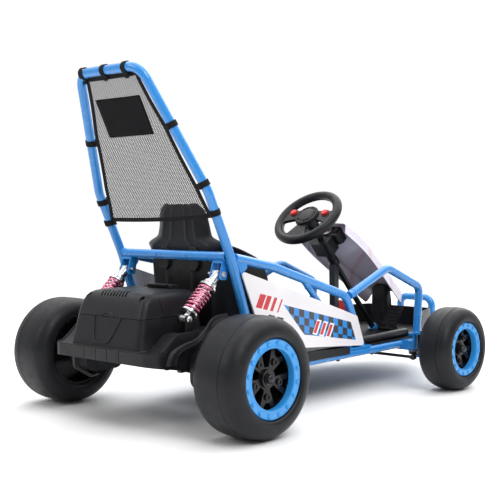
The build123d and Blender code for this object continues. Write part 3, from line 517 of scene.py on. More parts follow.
# ======== tyres ========
def tyre(end, side, hand):
    """Foam-filled tyre with a rounded shoulder, a bead lip, and the mould's parting line round its tread."""
    name = f"{end}_tyre_{hand}"
    low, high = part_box(name)
    centre = (low + high) / 2
    radius, width = (high.z - low.z) / 2, high.x - low.x
    shoulder, bead, out = 0.25 * radius, 0.66 * radius, width / 2
    crown, groove, line = 0.0012, 0.0011, 0.18 * width
    section = [(out - 0.007, bead), (out - 0.003, bead + 0.001), (out - 0.0004, bead + 0.006)]
    section += [(out, bead + 0.012), (out, radius - shoulder - 0.004)]
    section += arc(out - shoulder, radius - shoulder - crown, shoulder, 4, 86, 12)
    section += [(u, radius - crown * (u / out) ** 2) for u in (0.22 * width, line + groove)]
    section += [(line, radius - 0.0016), (line - groove, radius), (0, radius), (-0.2 * width, radius - crown * 0.2)]
    section += arc(shoulder - out, radius - shoulder - crown, shoulder, 94, 176, 12)
    section += [(-out, radius - shoulder - 0.004), (-out, bead + 0.012), (0.0004 - out, bead + 0.006),
                (0.007 - out, bead), (0.03 - out, bead - 0.001), (out - 0.03, bead - 0.001)]
    body = turned([(side * u, r) for u, r in section], centre, 128)
    mesh_object(f"tyre_{end}_{hand}", *body, "tyre_black", f"{end}_wheel_{hand}", [name], sharp=50.0)


RING_IN, RING_OUT, BOLT_CIRCLE, RING_INSET = 0.492, 0.652, 0.584, 0.006


def bead_ring(end, side, hand):
    """Painted ring over the bead: rolled inner edge, flat flange, and sixteen domed bolt heads."""
    low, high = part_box(f"{end}_tyre_{hand}")
    centre = (low + high) / 2
    radius, out = (high.z - low.z) / 2, (high.x - low.x) / 2
    inner, outer, face = RING_IN * radius, RING_OUT * radius, out - RING_INSET
    section = [(face - 0.017, inner + 0.001), (face - 0.003, inner), (face - 0.0008, inner + 0.0008),
               (face + 0.0004, inner + 0.0028), (face - 0.0004, inner + 0.0046), (face - 0.0004, outer - 0.0040),
               (face, outer - 0.0024), (face - 0.0012, outer - 0.0006), (face - 0.003, outer), (face - 0.006, outer),
               (face - 0.006, inner + 0.0045), (face - 0.017, inner + 0.0045)]
    shapes = [turned([(side * u, r) for u, r in section], centre, 128)]
    for k in range(16):
        a = 2 * pi * (k + 0.5) / 16
        place = centre + Vector((side * (face - 0.0006), radius * BOLT_CIRCLE * cos(a), radius * BOLT_CIRCLE * sin(a)))
        shapes.append(dome(place, (side, 0, 0), 0.036 * radius, 0.0038, 20))
    mesh_object(f"ring_{end}_{hand}", *join(*shapes), "ring_blue", f"{end}_wheel_{hand}", [f"{end}_ring_{hand}"])


def nut_shape(node, side):
    """Flanged hexagon nut over an axle's end."""
    low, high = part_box(node)
    root = (low + high) / 2
    near, far = sorted((abs(low.x), abs(high.x)))
    root.x = side * (near if low.x * high.x > 0 else far - 0.013)
    washer = turned([(0, 0.006), (side * 0.0016, 0.006), (side * 0.0016, 0.0135), (0, 0.0135)], root, 40)
    return join(washer, dome(root + Vector((side * 0.0016, 0, 0)), (side, 0, 0), 0.0100, 0.0095, 36, 6))


for end in ("front", "rear"):
    for side, hand in SIDES:
        tyre(end, side, hand)
        bead_ring(end, side, hand)
rear_pair = join(*[nut_shape("axle_nuts", side) for side, _ in SIDES])
mesh_object("rear_nuts", *rear_pair, "steel_black", "rear_module", ["axle_nuts"])
for side, hand in SIDES:
    nut = f"stub_nut_{hand}"
    mesh_object(f"front_nut_{hand}", *nut_shape(nut, side), "steel_black", f"knuckle_body_{hand}", [nut])


def swing_fork():
    """The fork, with its curved strap on the left only, where it shows."""
    node = frame["nodes"]["swing_arm"]
    obj = collection_link(bpy.data.objects.new("swing_fork", node.data.copy()))
    obj.matrix_world = node.matrix_world.copy()
    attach(obj, "rear_module")
    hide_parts("swing_arm")
    cut(obj, box_shape(at(188, -53, 104.5), (0.062, 0.118, 0.069)))
    soften(obj, 0.001)


swing_fork()


# ======== steering hub ========
def hub_pad():
    """Round pad with a segmented groove, in the middle of the wheel."""
    normal = Vector((0, -sin(COLUMN_TILT), cos(COLUMN_TILT)))
    up = Vector((0, cos(COLUMN_TILT), sin(COLUMN_TILT)))
    section = [(0.0052, 0.0340), (0.0085, 0.0342), (0.0112, 0.0325), (0.0120, 0.0290), (0.0098, 0.0275),
               (0.0098, 0.0240), (0.0124, 0.0225), (0.0136, 0.0150), (0.0140, 0.0001), (0.0052, 0.0001)]
    shapes = [turned(section, WHEEL_CENTRE, 72, normal)]
    for k in range(6):
        a = 2 * pi * (k + 0.5) / 6
        away = X_AXIS * cos(a) + up * sin(a)
        turn = Matrix((away, normal.cross(away), normal)).transposed()
        shapes.append(box_shape(WHEEL_CENTRE + away * 0.0258 + normal * 0.0106, (0.0048, 0.0060, 0.0026), turn))
    pad = moulded("hub_pad", join(*shapes), "steering", ["steering_hub_pad"], sharp=30)
    soften(pad, 0.0005)


hub_pad()


# ======== rear moulding: tray and battery box ========
def rounded_outline(half, y0, y1, rear_corner, front_corner, steps=8, side_steps=14):
    """Outline in the top view, in mm, with the same number of points whatever its size."""
    corners = ((half - front_corner, y1 - front_corner, front_corner, 0),
               (front_corner - half, y1 - front_corner, front_corner, 90),
               (rear_corner - half, y0 + rear_corner, rear_corner, 180),
               (half - rear_corner, y0 + rear_corner, rear_corner, 270))
    arcs = [arc(cx, cy, r, a, a + 90, steps) for cx, cy, r, a in corners]
    outline = []
    for k, points in enumerate(arcs):
        outline += points
        (ax, ay), (bx, by) = points[-1], arcs[(k + 1) % 4][0]
        for j in range(1, side_steps):
            outline.append((ax + (bx - ax) * j / side_steps, ay + (by - ay) * j / side_steps))
    return outline


def smooth_step(value, low, high):
    share = max(0.0, min(1.0, (value - low) / (high - low)))
    return share * share * (3 - 2 * share)


DECK_Z, HUMP_Z = 177.0, 214.0
TRAY_OUTLINE = rounded_outline(176, -152, 75, 34, 6)
BOX_FOOT = rounded_outline(122, -139, 54, 16, 12)
BOX_SEAM = rounded_outline(115.5, -125, 50, 15, 12)


def deck_height(x, y):
    """The tray's top: flat round the box, stepped up beside it over the axle."""
    return DECK_Z + (HUMP_Z - DECK_Z) * smooth_step(abs(x), 116, 132) * smooth_step(y, -130, -68)


def under_height(y):
    """The tray's lower edge, in three straight runs."""
    if y < -25:
        return 150 + (128 - 150) * (y + 152) / 127
    return 128 + (111 - 128) * (y + 25) / 100


def blend_outline(a, b, share):
    return [(ax + (bx - ax) * share, ay + (by - ay) * share) for (ax, ay), (bx, by) in zip(a, b)]


def rear_moulding():
    """One skin: box wall, its flared foot, the stepped deck, and the lip round the outside."""
    rings = []

    def ring(outline, height):
        rings.append([at(x, y, height(x, y)) for x, y in outline])

    foot_z = DECK_Z + 8
    for share in (1.0, 0.985, 0.6, 0.3, 0.12):
        ring(blend_outline(BOX_FOOT, BOX_SEAM, share), lambda x, y, s=share: foot_z + (SEAM_Z - 0.6 - foot_z) * s)
    for spread, drop in ((0.03, 3.0), (0.08, 0.8), (0.15, 0.0)):
        outline = blend_outline(BOX_FOOT, TRAY_OUTLINE, spread)
        ring(outline, lambda x, y, d=drop: max(DECK_Z + d, deck_height(x, y)))
    for spread in (0.3, 0.45, 0.6, 0.75, 0.88, 0.94):
        ring(blend_outline(BOX_FOOT, TRAY_OUTLINE, spread), deck_height)
    for spread in (0.955, 0.985):
        ring(blend_outline(BOX_FOOT, TRAY_OUTLINE, spread), lambda x, y: deck_height(x, y) + 1.6)
    ring(TRAY_OUTLINE, lambda x, y: deck_height(x, y) - 1.2)
    for share in (0.85, 0.5, 0.2, 0.0):
        ring(TRAY_OUTLINE, lambda x, y, s=share: under_height(y) + (deck_height(x, y) - 4 - under_height(y)) * s)
    obj = moulded("rear_moulding", skin(rings), "rear_module", ["rear_tray", "box_base"])
    modifier(obj, "SOLIDIFY", thickness=0.0028, offset=-1)
    cutters = [box_shape(at(x, -152, 164), (0.0018, 0.0034, 0.036)) for x in (-53, -12, 27, 67)]
    for side, _ in SIDES:
        cutters += [box_shape(at(side * 156.5, -39, 214), (0.034, 0.036, 0.014)),
                    disc(at(side * 176, 0, 130), 0.03, 0.010),
                    box_shape(at(side * 176, -16, 112), (0.06, 0.060, 0.044)),
                    box_shape(at(side * 176, 45, 150), (0.05, 0.056, 0.09))]
    cut(obj, *cutters)
    soften(obj, 0.0009)


rear_moulding()


def relief_band(name, path, width, depth, out):
    """Raised strip of a given width and depth along a path, standing out from a wall."""
    rings = []
    for p, ahead in zip(path, headings(path)):
        across = ahead.cross(out).normalized() * width / 2
        lift = out.normalized() * depth
        rings.append([p - across, p - across * 0.75 + lift, p + across * 0.75 + lift, p + across])
    moulded(name, skin(rings, caps=True), "rear_module")


def smooth_path(points, steps):
    """Points along a Catmull-Rom curve through a few given ones."""
    full = [points[0] * 2 - points[1]] + list(points) + [points[-1] * 2 - points[-2]]
    path = []
    for k in range(1, len(full) - 2):
        p0, p1, p2, p3 = full[k - 1:k + 3]
        for j in range(steps):
            t = j / steps
            path.append(0.5 * (2 * p1 + (p2 - p0) * t + (2 * p0 - 5 * p1 + 4 * p2 - p3) * t * t
                               + (3 * p1 - p0 - 3 * p2 + p3) * t ** 3))
    return path + [points[-1]]


ARCH_OUT = ((-116, 152), (-111, 168), (-99, 182), (-82, 189), (-61, 194.6), (-36, 199.5), (-18.5, 210), (-5, 224),
            (8, 238.6), (26, 246.4), (58, 249))
ARCH_IN = ((-99.5, 151.7), (-91, 172), (-74, 182), (-49, 188.5), (-23, 198), (-14, 206.5), (3, 217), (17, 231.5),
           (35, 239), (62, 241.5))


def wheel_arch(side, hand):
    """Fender wall from the deck's edge out to a double-edged lip that follows the tyre."""
    def curve(points, x):
        return smooth_path([at(side * x, y, z) for y, z in points], 5)

    outer, inner = curve(ARCH_OUT, 190), curve(ARCH_IN, 193)
    inner = [inner[round(k * (len(inner) - 1) / (len(outer) - 1))] for k in range(len(outer))]
    rings, wall, shade = [], [], []
    lift = Vector((side * 0.0022, 0, 0))
    for p, q in zip(outer, inner):
        across = (q - p).normalized()
        rings.append([p - lift, p + lift * 0.6, p + lift + across * 0.0012, p + across * 0.0028, q - across * 0.0028,
                      q + lift - across * 0.0012, q + lift * 0.6, q - lift])
        y = (p.y - AXLE_Y) * 1000
        foot = at(side * 175, y, min(deck_height(side * 170, y), p.z * 1000) - 2)
        wall.append([foot, foot.lerp(p, 0.5) + Vector((-side * 0.0012, 0, 0)), p])
        y, z = (q.y - AXLE_Y) * 1000, q.z * 1000
        shade.append([at(side * 193, y, z), at(side * 178, y + 2, z - 1)])
    lip = skin(rings, caps=True)
    moulded(f"arch_lip_{hand}", lip, "rear_module", sharp=30)
    for name, sheet, thickness in (("fender", wall, 0.0024), ("arch_soffit", shade, 0.0020)):
        piece = moulded(f"{name}_{hand}", skin(sheet, closed=False), "rear_module")
        modifier(piece, "SOLIDIFY", thickness=thickness, offset=0)
    x = side * 172.5
    edge = smooth_path([at(x, y, deck_height(x, y) + 0.6) for y in (-132, -120, -108, -96, -84, -72, -60, -20, 40)], 4)
    relief_band(f"deck_edge_{hand}", edge, 0.0030, 0.0016, Vector((0, -0.3, 1)))


for side, hand in SIDES:
    wheel_arch(side, hand)


def v_relief():
    """Raised V outline on the box's rear wall, under the finger notch."""
    def wall(x, z):
        share = (z - DECK_Z - 8) / (SEAM_Z - DECK_Z - 8)
        return at(x, -139 + 14 * share - 0.2, z)

    path = [wall(x, z) for x, z in ((-47, 244.5), (-44, 228), (-38, 200), (-30, 189), (-10, 188.5), (10, 189.5),
                                    (21, 199), (38, 230), (46, 244.5))]
    relief_band("box_v_relief", smooth_path(path, 3), 0.0042, 0.0016, Vector((0, -1, 0.19)))


v_relief()


# ======== box lid ========
LID_RINGS = ((SEAM_Z + 0.6, 115.5, -125.0, 50.0, 15.0), (262.0, 114.0, -119.5, 49.3, 15.5),
             (276.0, 112.0, -113.5, 48.6, 16.0), (286.0, 109.0, -107.0, 47.2, 17.0), (293.0, 104.5, -99.5, 44.6, 18.0),
             (297.0, 98.0, -91.0, 40.5, 18.0), (298.6, 90.0, -82.0, 34.0, 17.0), (298.9, 60.0, -60.0, 20.0, 14.0),
             (299.0, 25.0, -35.0, 0.0, 8.0))
SCREW_X = (-92, 92)


def box_lid():
    """Domed lid with louvres, two screws and a seam down each side."""
    rings = []
    for z, half, y0, y1, corner in LID_RINGS:
        rings.append([at(x, y, z) for x, y in rounded_outline(half, y0, y1, corner, corner - 3)])
    obj = moulded("lid_shell", skin(rings, cap_last=True), "lid", ["box_lid"])
    modifier(obj, "SOLIDIFY", thickness=0.003, offset=-1)
    lean = Matrix.Rotation(radians(34), 3, "Z") @ Matrix.Rotation(radians(14), 3, "X")
    louvres = [box_shape(at(-58 + 10.3 * k, -87, 297), (0.0036, 0.044, 0.026), lean) for k in range(9)]
    holes = [disc(at(x, -103, 300), 0.02, 0.0062, Z_AXIS) for x in SCREW_X]
    slope = Matrix.Rotation(radians(8), 3, "X")
    seams = [box_shape(at(x, -67, 270), (0.010, 0.0016, 0.060), slope) for x in (114, -114)]
    cut(obj, *louvres, *holes, *seams)
    soften(obj, 0.0010)
    screws = [dome(at(x, -103, 284), (0, 0, 1), 0.0040, 0.0022, 20) for x in SCREW_X]
    cups = [disc(at(x, -103, 284), 0.0, 0.0072, Z_AXIS, -0.001) for x in SCREW_X]
    mesh_object("lid_screws", *join(*screws, *cups), "steel_black", "lid")


def lid_details():
    """Raised half-moon finger lip at the seam, and the flat catch near the lid's front."""
    base = 246.2
    rings = []
    for k in range(17):
        a = pi * k / 16
        x, z = 22 * cos(a), base + 8.5 * sin(a)
        y = -125 + 0.33 * (z - SEAM_Z)
        rings.append([at(x, y - 0.2, z), at(x * 0.93, y - 1.6, base + (z - base) * 0.9),
                      at(x * 0.84, y - 0.4, base + (z - base) * 0.78)])
    lip = moulded("finger_lip", skin(rings, closed=False), "lid")
    modifier(lip, "SOLIDIFY", thickness=0.0010, offset=0)
    catch = moulded("lid_catch", box_shape(at(6, 33, 303.2), (0.084, 0.022, 0.009)), "lid")
    soften(catch, 0.0022, 3)
    tab = moulded("lid_catch_tab", box_shape(at(6, 24, 306.4), (0.060, 0.018, 0.0045)), "lid")
    soften(tab, 0.0014, 3)


box_lid()
lid_details()


# ======== seat ========
# share of the length, y, z, half width, height of the wing
SEAT_STATIONS = ((0.0, 386, 203, 146, 6), (0.06, 372, 200, 148, 12), (0.16, 330, 168, 147, 60),
                 (0.28, 262, 150, 145, 88), (0.40, 180, 143, 143, 110), (0.50, 128, 156, 142, 150),
                 (0.58, 112, 205, 146, 168), (0.68, 106, 270, 147, 156), (0.76, 102, 330, 146, 145),
                 (0.81, 100, 365, 145, 116), (0.84, 99, 388, 145, 56), (0.86, 98, 398, 138, 24),
                 (0.875, 98, 404, 104, 18), (0.89, 98, 414, 88, 18), (0.94, 98, 440, 81, 18),
                 (0.97, 98, 468, 77, 14), (0.99, 98, 486, 66, 8), (1.0, 98, 493, 50, 6))


def seat_point(u, v):
    """The seat's inner surface in mm: u runs across from -1 to 1, v from the front lip (0) to the head (1)."""
    for (v0, *a), (v1, *b) in zip(SEAT_STATIONS, SEAT_STATIONS[1:]):
        if v <= v1:
            t = smooth_step(v, v0, v1) * 0.5 + 0.5 * (v - v0) / (v1 - v0)
            y, z, half, wing = [p + (q - p) * t for p, q in zip(a, b)]
            break
    side = max(0.0, abs(u) - 0.62) / 0.38
    x = half * u * (1.0 if abs(u) < 0.62 else 1.0 + 0.04 * side)
    rise = wing * (side ** 1.8)
    upright = smooth_step(v, 0.40, 0.60)
    return x, y + rise * upright * 0.9, z + rise * (1 - upright)


def seat_shell():
    across, along = 40, 76
    rings = []
    for j in range(along + 1):
        row = []
        for k in range(across + 1):
            u, v = 2 * k / across - 1, j / along
            x, y, z = seat_point(u, v)
            ridge = sum(max(0.0, 1 - abs(abs(u) - line) / 0.06) for line in (0.30, 0.66))
            groove = 3.4 * ridge * smooth_step(v, 0.10, 0.2)
            row.append(at(x, y, z) - Vector((0, 0.0008, 0.0006)) * groove)
        rings.append(row)
    obj = moulded("seat_bucket", skin(rings, closed=False), "chassis", ["seat_shell"])
    modifier(obj, "SOLIDIFY", thickness=0.005, offset=1)
    modifier(obj, "SUBSURF", levels=1, render_levels=1)
    skirt = []
    for z, half, y0, y1 in ((127, 123, 105, 378), (138, 130, 103, 390), (150, 149, 101, 398), (200, 158, 99, 400),
                             (206, 158, 99, 398)):
        skirt.append([at(x, y, z) for x, y in rounded_outline(half, y0, y1, 14, 16)])
    base = moulded("seat_base", skin(skirt, cap_first=True), "chassis")
    modifier(base, "SOLIDIFY", thickness=0.003, offset=-1)


def seat_bosses():
    """Two long eight-sided pads on the seat's back, behind the cross bar."""
    shapes = []
    outline = ((-8, 27), (8, 27), (18, 14), (18, -16), (8, -29), (-8, -29), (-18, -16), (-18, 14))
    for x in (-51, 51):
        rings = [[at(x + dx * k, y, 364 + dz * k) for dx, dz in outline] for k, y in ((1, 96), (1, 89.5), (0.9, 88))]
        shapes.append(skin(rings, caps=True))
    pads = moulded("seat_pads", join(*shapes), "chassis", sharp=25)
    soften(pads, 0.0008)


seat_shell()
seat_bosses()


# ======== nose panel ========
def nose_panel():
    """Channel-shaped shell in front of the column."""
    top, foot = at(0, 617, 408), at(0, 913, 190)
    run = (foot - top).normalized()
    out = Vector((0, -run.z, run.y))
    stations = ((0.0, 88, 32), (0.04, 90.5, 35), (0.15, 98, 37), (0.33, 100, 36), (0.6, 85, 36), (0.8, 73, 41),
                (0.97, 64, 42), (1.0, 62, 40))
    rings = []
    for share, half, depth in stations:
        centre = top.lerp(foot, share)
        flat = half - 22
        section = [(-half - 5, -1.0), (-half, 0.0), (-half + 4, depth * 0.35)]
        section += arc(-flat - 2, depth - 13, 13, 180, 90, 3)
        section += [(-flat * 0.55, depth + 1.0), (-3, depth + 2.2)]
        section += [(-x, d) for x, d in reversed(section)]
        rings.append([centre + Vector((x / 1000, 0, 0)) + out * (d / 1000) for x, d in section])
    obj = mesh_object("nose_shell", *skin(rings, closed=False), "panel_white", "chassis", ["nose_panel"], material=NOSE)
    modifier(obj, "SOLIDIFY", thickness=0.0028, offset=-1)
    modifier(obj, "SUBSURF", levels=2, render_levels=2)


nose_panel()


def column_housing():
    """Upright cover in front of the post: chamfered top, side flutes and rows of vents near its foot."""
    rings = []
    for z, half, y0, y1 in ((121, 30, 884, 918), (130, 29, 885, 917.5), (196, 27, 886, 917), (232, 26, 887, 911),
                            (243, 22, 889, 907), (247, 15, 893, 903)):
        rings.append([at(x, y, z) for x, y in rounded_outline(half, y0, y1, 6, 5, 4, 4)])
    shape = skin(rings, caps=True)
    obj = moulded("column_housing", shape, "chassis", ["column_cover"], sharp=30)
    cutters = [box_shape(at(x, 885, z), (0.018, 0.006, 0.0035)) for x in (-13, 13) for z in (142, 151, 160)]
    cutters += [box_shape(at(side * 28.5, 901, 190), (0.004, 0.014, 0.070)) for side, _ in SIDES]
    cut(obj, *cutters)
    soften(obj, 0.0012)


column_housing()


# ======== mesh wind panel ========
HOOP_TOP, HOOP_BEND = (103.0, -109.0, 791.0), (188.5, 7.0, 520.0)
HOOP_SLOPE = (HOOP_TOP[1] - HOOP_BEND[1]) / (HOOP_TOP[2] - HOOP_BEND[2])
PANEL_NORMAL = Vector((0, -1, HOOP_SLOPE)).normalized()
PANEL_FOOT, PANEL_RISE = 456.0, 323.0
FOOT_HALF, TOP_HALF = 174.0, 84.0


def hoop_plane(x, z, off=0.0):
    return at(x, HOOP_BEND[1] + HOOP_SLOPE * (z - HOOP_BEND[2]) + off, z)


def panel_edge(z):
    """Half width of the cloth: it bows in between its loops."""
    share = (z - PANEL_FOOT) / PANEL_RISE
    pull = sum(max(0.0, 1 - abs(z - s) / 70) ** 2 for s in (660, 530, 468, 779))
    return FOOT_HALF + (TOP_HALF - FOOT_HALF) * share + 5.0 * sin(pi * share) + 3.0 * min(1.0, pull)


def panel_point(u, v):
    """A point of the cloth: u across from -1 to 1, v up from 0 to 1."""
    z = PANEL_FOOT + PANEL_RISE * v + (4.0 * (u * u - 0.5) + 5.0 * u) * (1 - v) ** 3
    x = panel_edge(z) * u
    belly = 5.0 * (1 - u * u) * sin(pi * v)
    crease = 1.6 * sin(5.0 * (u + 1.3 * v) + 0.6) * (1 - u * u) * sin(pi * v)
    return hoop_plane(x, z, belly + crease)


def panel_cloth():
    across, up = 30, 40
    rings = [[panel_point(2 * k / across - 1, j / up) for k in range(across + 1)] for j in range(up + 1)]
    cloth = mesh_object("net_panel", *skin(rings, closed=False), "mesh", "chassis", ["mesh_panel"], sharp=80)


def border():
    """Folded tape sewn round the cloth's edge."""
    loop = [panel_point(-1, k / 24) for k in range(25)] + [panel_point(2 * k / 10 - 1, 1) for k in range(1, 10)]
    loop += [panel_point(1, 1 - k / 24) for k in range(25)] + [panel_point(1 - 2 * k / 14, 0) for k in range(1, 14)]
    centre = sum(loop, Vector()) / len(loop)
    rings = []
    for k, p in enumerate(loop):
        ahead = (loop[(k + 1) % len(loop)] - loop[k - 1]).normalized()
        across = ahead.cross(PANEL_NORMAL).normalized()
        if (centre - p).dot(across) < 0:
            across = -across
        outer, inner, lift = p - across * 0.0015, p + across * 0.0085, PANEL_NORMAL * 0.0012
        rings.append([outer + lift * 0.6, p + across * 0.002 + lift, inner + lift, inner - lift,
                      p + across * 0.002 - lift, outer - lift * 0.6])
    mesh_object("net_border", *skin(rings + rings[:1]), "webbing", "chassis")


def patch():
    """Plain rectangle of close cloth sewn on the net near its top."""
    rings = []
    for j in range(11):
        z, shift = 648 + 84 * j / 10, 2.0 * (1 - j / 10) - 4
        rings.append([panel_point((77 * (k / 8 - 1) + shift) / panel_edge(z), (z - PANEL_FOOT) / PANEL_RISE)
                      + PANEL_NORMAL * 0.0016 for k in range(17)])
    cloth = mesh_object("net_patch", *skin(rings, closed=False), "webbing", "chassis", material=PATCH, sharp=80)
    modifier(cloth, "SOLIDIFY", thickness=0.0012, offset=0)


panel_cloth()
border()
patch()


def leg_x(z):
    share = max(0.0, (z - HOOP_BEND[2]) / (HOOP_TOP[2] - HOOP_BEND[2]))
    return HALF + (HOOP_TOP[0] - HALF) * share


def strap_loop(name, centre, along, towards, replaced=()):
    """Webbing loop round a hoop tube, its tail folded under a small slide buckle towards the net."""
    along = along.normalized()
    towards = (towards - along * towards.dot(along)).normalized()
    side = along.cross(towards)
    width, inner, outer = 0.0135, TUBE_R + 0.0003, TUBE_R + 0.0021
    rings = []
    for k in range(40):
        a = 2 * pi * k / 40
        away = towards * cos(a) + side * sin(a)
        pull = outer * (1 + 0.22 * max(0.0, cos(a)) ** 6)
        section = ((inner, -0.5), (pull - 0.0002, -0.5), (pull, -0.42), (pull, 0.42), (pull - 0.0002, 0.5),
                   (inner, 0.5))
        rings.append([centre + away * r + along * width * w for r, w in section])
    shapes = [skin(rings + rings[:1])]
    tab = centre + towards * (TUBE_R + 0.0075)
    turn = Matrix((along, side, towards)).transposed()
    shapes.append(box_shape(tab, (width * 0.98, 0.0030, 0.013), turn))
    shapes.append(box_shape(centre + side * (TUBE_R + 0.0026) + towards * 0.001, (width * 1.12, 0.0016, 0.009), turn))
    soften(mesh_object(name, *join(*shapes), "webbing", "chassis", replaced), 0.0004, 2, 40)


inward = Vector((0, 0.1, -1))
for k, x in enumerate((-88, -13, 60)):
    strap_loop(f"strap_top_{k + 1}", at(x, HOOP_TOP[1], HOOP_TOP[2]), X_AXIS, inward,
               ["mesh_straps"] if k == 0 else ())
STRAPS = {"right": (664, 536, 474), "left": (640, 499, 450)}
for side, hand in SIDES:
    for k, z in enumerate(STRAPS[hand]):
        low, high = hoop_plane(side * leg_x(z - 8), z - 8), hoop_plane(side * leg_x(z + 8), z + 8)
        strap_loop(f"strap_{hand}_{k + 1}", (low + high) / 2, high - low, Vector((-side, 0, 0)))


# ======== shock absorber coils ========
def coil(side, hand):
    """Spring, its collar and the lower nuts."""
    top, low = at(side * 158, 63, 335), at(side * 158, -39, 243)
    down = (low - top).normalized()
    other = down.cross(X_AXIS)
    start, end, turns, radius, wire = 0.0468, 0.1172, 6.5, 0.017, 0.0027
    path, steps = [], int(turns * 28)
    for k in range(steps + 1):
        share = k / steps
        lean = share + 0.020 * sin(2 * pi * share)
        a = 2 * pi * turns * share
        s = start + wire + (end - start - 2 * wire) * min(1.0, max(0.0, lean))
        path.append(top + down * s + (X_AXIS * cos(a) + other * sin(a)) * radius)
    obj = mesh_object(f"coil_{hand}", *tube_skin(path, wire, 12), "spring_red", f"shock_top_{hand}",
                      [f"spring_{hand}"], sharp=70)
    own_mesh(obj)
    collar = [(0.0, 0.0110), (0.0, 0.0150), (0.004, 0.0165), (0.010, 0.0165), (0.012, 0.0150), (0.012, 0.0110)]
    rings = []
    for k in range(48):
        away = X_AXIS * cos(2 * pi * k / 48) + other * sin(2 * pi * k / 48)
        rings.append([top + down * (0.028 + u) + away * (r - 0.0005 * (k % 2)) for u, r in collar])
    mesh_object(f"shock_collar_{hand}", *skin(rings + rings[:1]), "alloy", f"shock_top_{hand}")
    heads = [dome(low + Vector((side * 0.0135 * s, 0, 0)), (side * s, 0, 0), 0.0070, 0.0052, 36, 6) for s in (1, -1)]
    mesh_object(f"shock_low_nuts_{hand}", *join(*heads), "zinc", "rear_module")


for side, hand in SIDES:
    coil(side, hand)


# ======== weld beads, fasteners and sills ========
def weld_bead(centre, axis, radius, thickness=0.0016):
    """Rippled bead round a tube where it meets another."""
    axis = Vector(axis).normalized()
    a = axis.orthogonal().normalized()
    b = axis.cross(a)
    rings = []
    for k in range(60):
        t = 2 * pi * k / 60
        ripple = thickness * (1 + 0.25 * sin(15 * t) + 0.15 * random.uniform(-1, 1))
        out = a * cos(t) + b * sin(t)
        core = centre + out * radius
        rings.append([core + (out * cos(j * pi / 3) + axis * sin(j * pi / 3)) * ripple for j in range(6)])
    return skin(rings + rings[:1])


# place of each bead on the right, the tube's direction there, and its radius
WELDS = ((HALF - 11.5, 74, 373, (1, 0, 0), TUBE_R), (HALF, 518, 259, (0, 165, 61), TUBE_R),
         (HALF, 341, 288, (0, 180, -186), 0.008), (HALF, 544.5, 122, (0, 30, -65), TUBE_R * 1.05),
         (HALF, 804.5, 129, (0, 0, 1), TUBE_R), (HALF, 157, 122, (0, 0.3, -1), TUBE_R),
         (57, 1080, 117.5, (0, 0, 1), TUBE_R))


def beads():
    """Beads where the frame's tubes meet."""
    shapes = [weld_bead(at(side * x, y, z), axis, radius) for side, _ in SIDES for x, y, z, axis, radius in WELDS]
    mesh_object("weld_beads", *join(*shapes), "frame_blue", "chassis", sharp=70)


def frame_bolt_heads():
    """Painted heads of the seat's bolts on the cross bar, and black heads under the rails."""
    heads = [dome(at(x, 62.6, 373), (0, -1, 0), 0.0050, 0.0018, 20) for x in (-52, 52)]
    mesh_object("seat_bolt_heads", *join(*heads), "frame_blue", "chassis", ["frame_bolts"])
    nuts = [dome(at(side * HALF, y, 95.2), (0, 0, -1), 0.0052, 0.0040, 24, 6) for side, _ in SIDES
            for y in (300, 455, 597, 766)]
    mesh_object("rail_nuts", *join(*nuts), "steel_black", "chassis")


def sills():
    """Rounded sill of the floor tray along each rail."""
    route = ((174, 512, 128), (177, 560, 131), (177, 640, 131.5), (176, 720, 132.5), (172, 775, 131))
    shapes = []
    for side, _ in SIDES:
        path = smooth_path([at(side * x, y, z) for x, y, z in route], 8)
        shapes.append(tube_skin(path, 0.0105, 16))
    moulded("tray_sills", join(*shapes), "chassis", sharp=60)


beads()
frame_bolt_heads()
sills()


# ======== stage, light and camera ========
FLOOR_REACH, FLOOR_Z = 3.4, -0.0006
LIGHTS = (("key", (2.5, -1.2, 2.5), 1.5, 42.0), ("fill", (-1.2, -3.0, 2.2), 1.4, 24.0),
          ("top", (0.0, 0.6, 3.2), 6.0, 215.0), ("front", (-1.0, 3.4, 1.6), 2.0, 20.0))


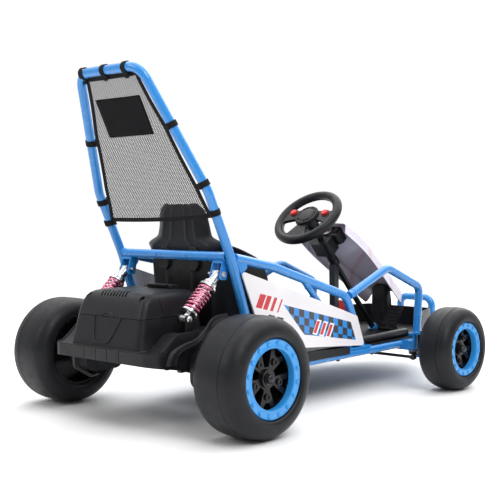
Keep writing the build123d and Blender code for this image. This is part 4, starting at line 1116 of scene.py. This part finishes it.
def studio():
    """White floor, four soft lights, and a world brightest ahead on the kart's left."""
    floor_mesh = bpy.data.meshes.new("floor")
    corners = [(x * FLOOR_REACH, y * FLOOR_REACH, FLOOR_Z) for x, y in ((-1, -1), (1, -1), (1, 1), (-1, 1))]
    floor_mesh.from_pydata(corners, [], [(0, 1, 2, 3)])
    floor = collection_link(bpy.data.objects.new("floor", floor_mesh))
    floor_mesh.materials.append(Nodes("floor_white", (0.93, 0.93, 0.93), 0.6, specular=0.2).material)
    world = bpy.data.worlds.new("studio")
    world.use_nodes = True
    tree = world.node_tree
    tree.nodes["Background"].inputs[0].default_value = (1.0, 1.0, 1.0, 1)
    where = tree.nodes.new("ShaderNodeTexCoord")
    along = tree.nodes.new("ShaderNodeVectorMath")
    along.operation = "DOT_PRODUCT"
    along.inputs[1].default_value = (-0.686, 0.728, 0.0)
    tree.links.new(where.outputs["Generated"], along.inputs[0])
    glow = tree.nodes.new("ShaderNodeMapRange")
    for index, number in enumerate((-0.1, 0.5, 0.26, 1.02), 1):
        glow.inputs[index].default_value = number
    tree.links.new(along.outputs["Value"], glow.inputs[0])
    tree.links.new(glow.outputs[0], tree.nodes["Background"].inputs[1])
    bpy.context.scene.world = world
    target = at(0, 450, 300)
    for name, place, size, power in LIGHTS:
        light = bpy.data.lights.new(name, "AREA")
        light.shape, light.size, light.energy = "SQUARE", size, power
        lamp = collection_link(bpy.data.objects.new(name, light))
        lamp.location = place
        lamp.rotation_euler = (Vector(place) - target).to_track_quat("Z", "Y").to_euler()
    bpy.context.scene.view_settings.view_transform = "Standard"


def camera():
    """Camera behind the kart on its right, looking ahead and to the left, slightly down."""
    azimuth, elevation, roll = radians(43.32), radians(2.86), radians(-0.733)
    back = Vector((sin(azimuth) * cos(elevation), -cos(azimuth) * cos(elevation), sin(elevation)))
    right = Vector((cos(azimuth), sin(azimuth), 0))
    up = back.cross(right)
    turn = Matrix((right, up, back)).transposed() @ Matrix.Rotation(roll, 3, "Z")
    data = bpy.data.cameras.new("camera")
    data.lens, data.sensor_width = 73.3, 36.0
    eye = collection_link(bpy.data.objects.new("camera", data))
    eye.matrix_world = Matrix.Translation(at(1774.9, -1544.4, 501.6)) @ turn.to_4x4()
    bpy.context.scene.camera = eye


studio()
camera()
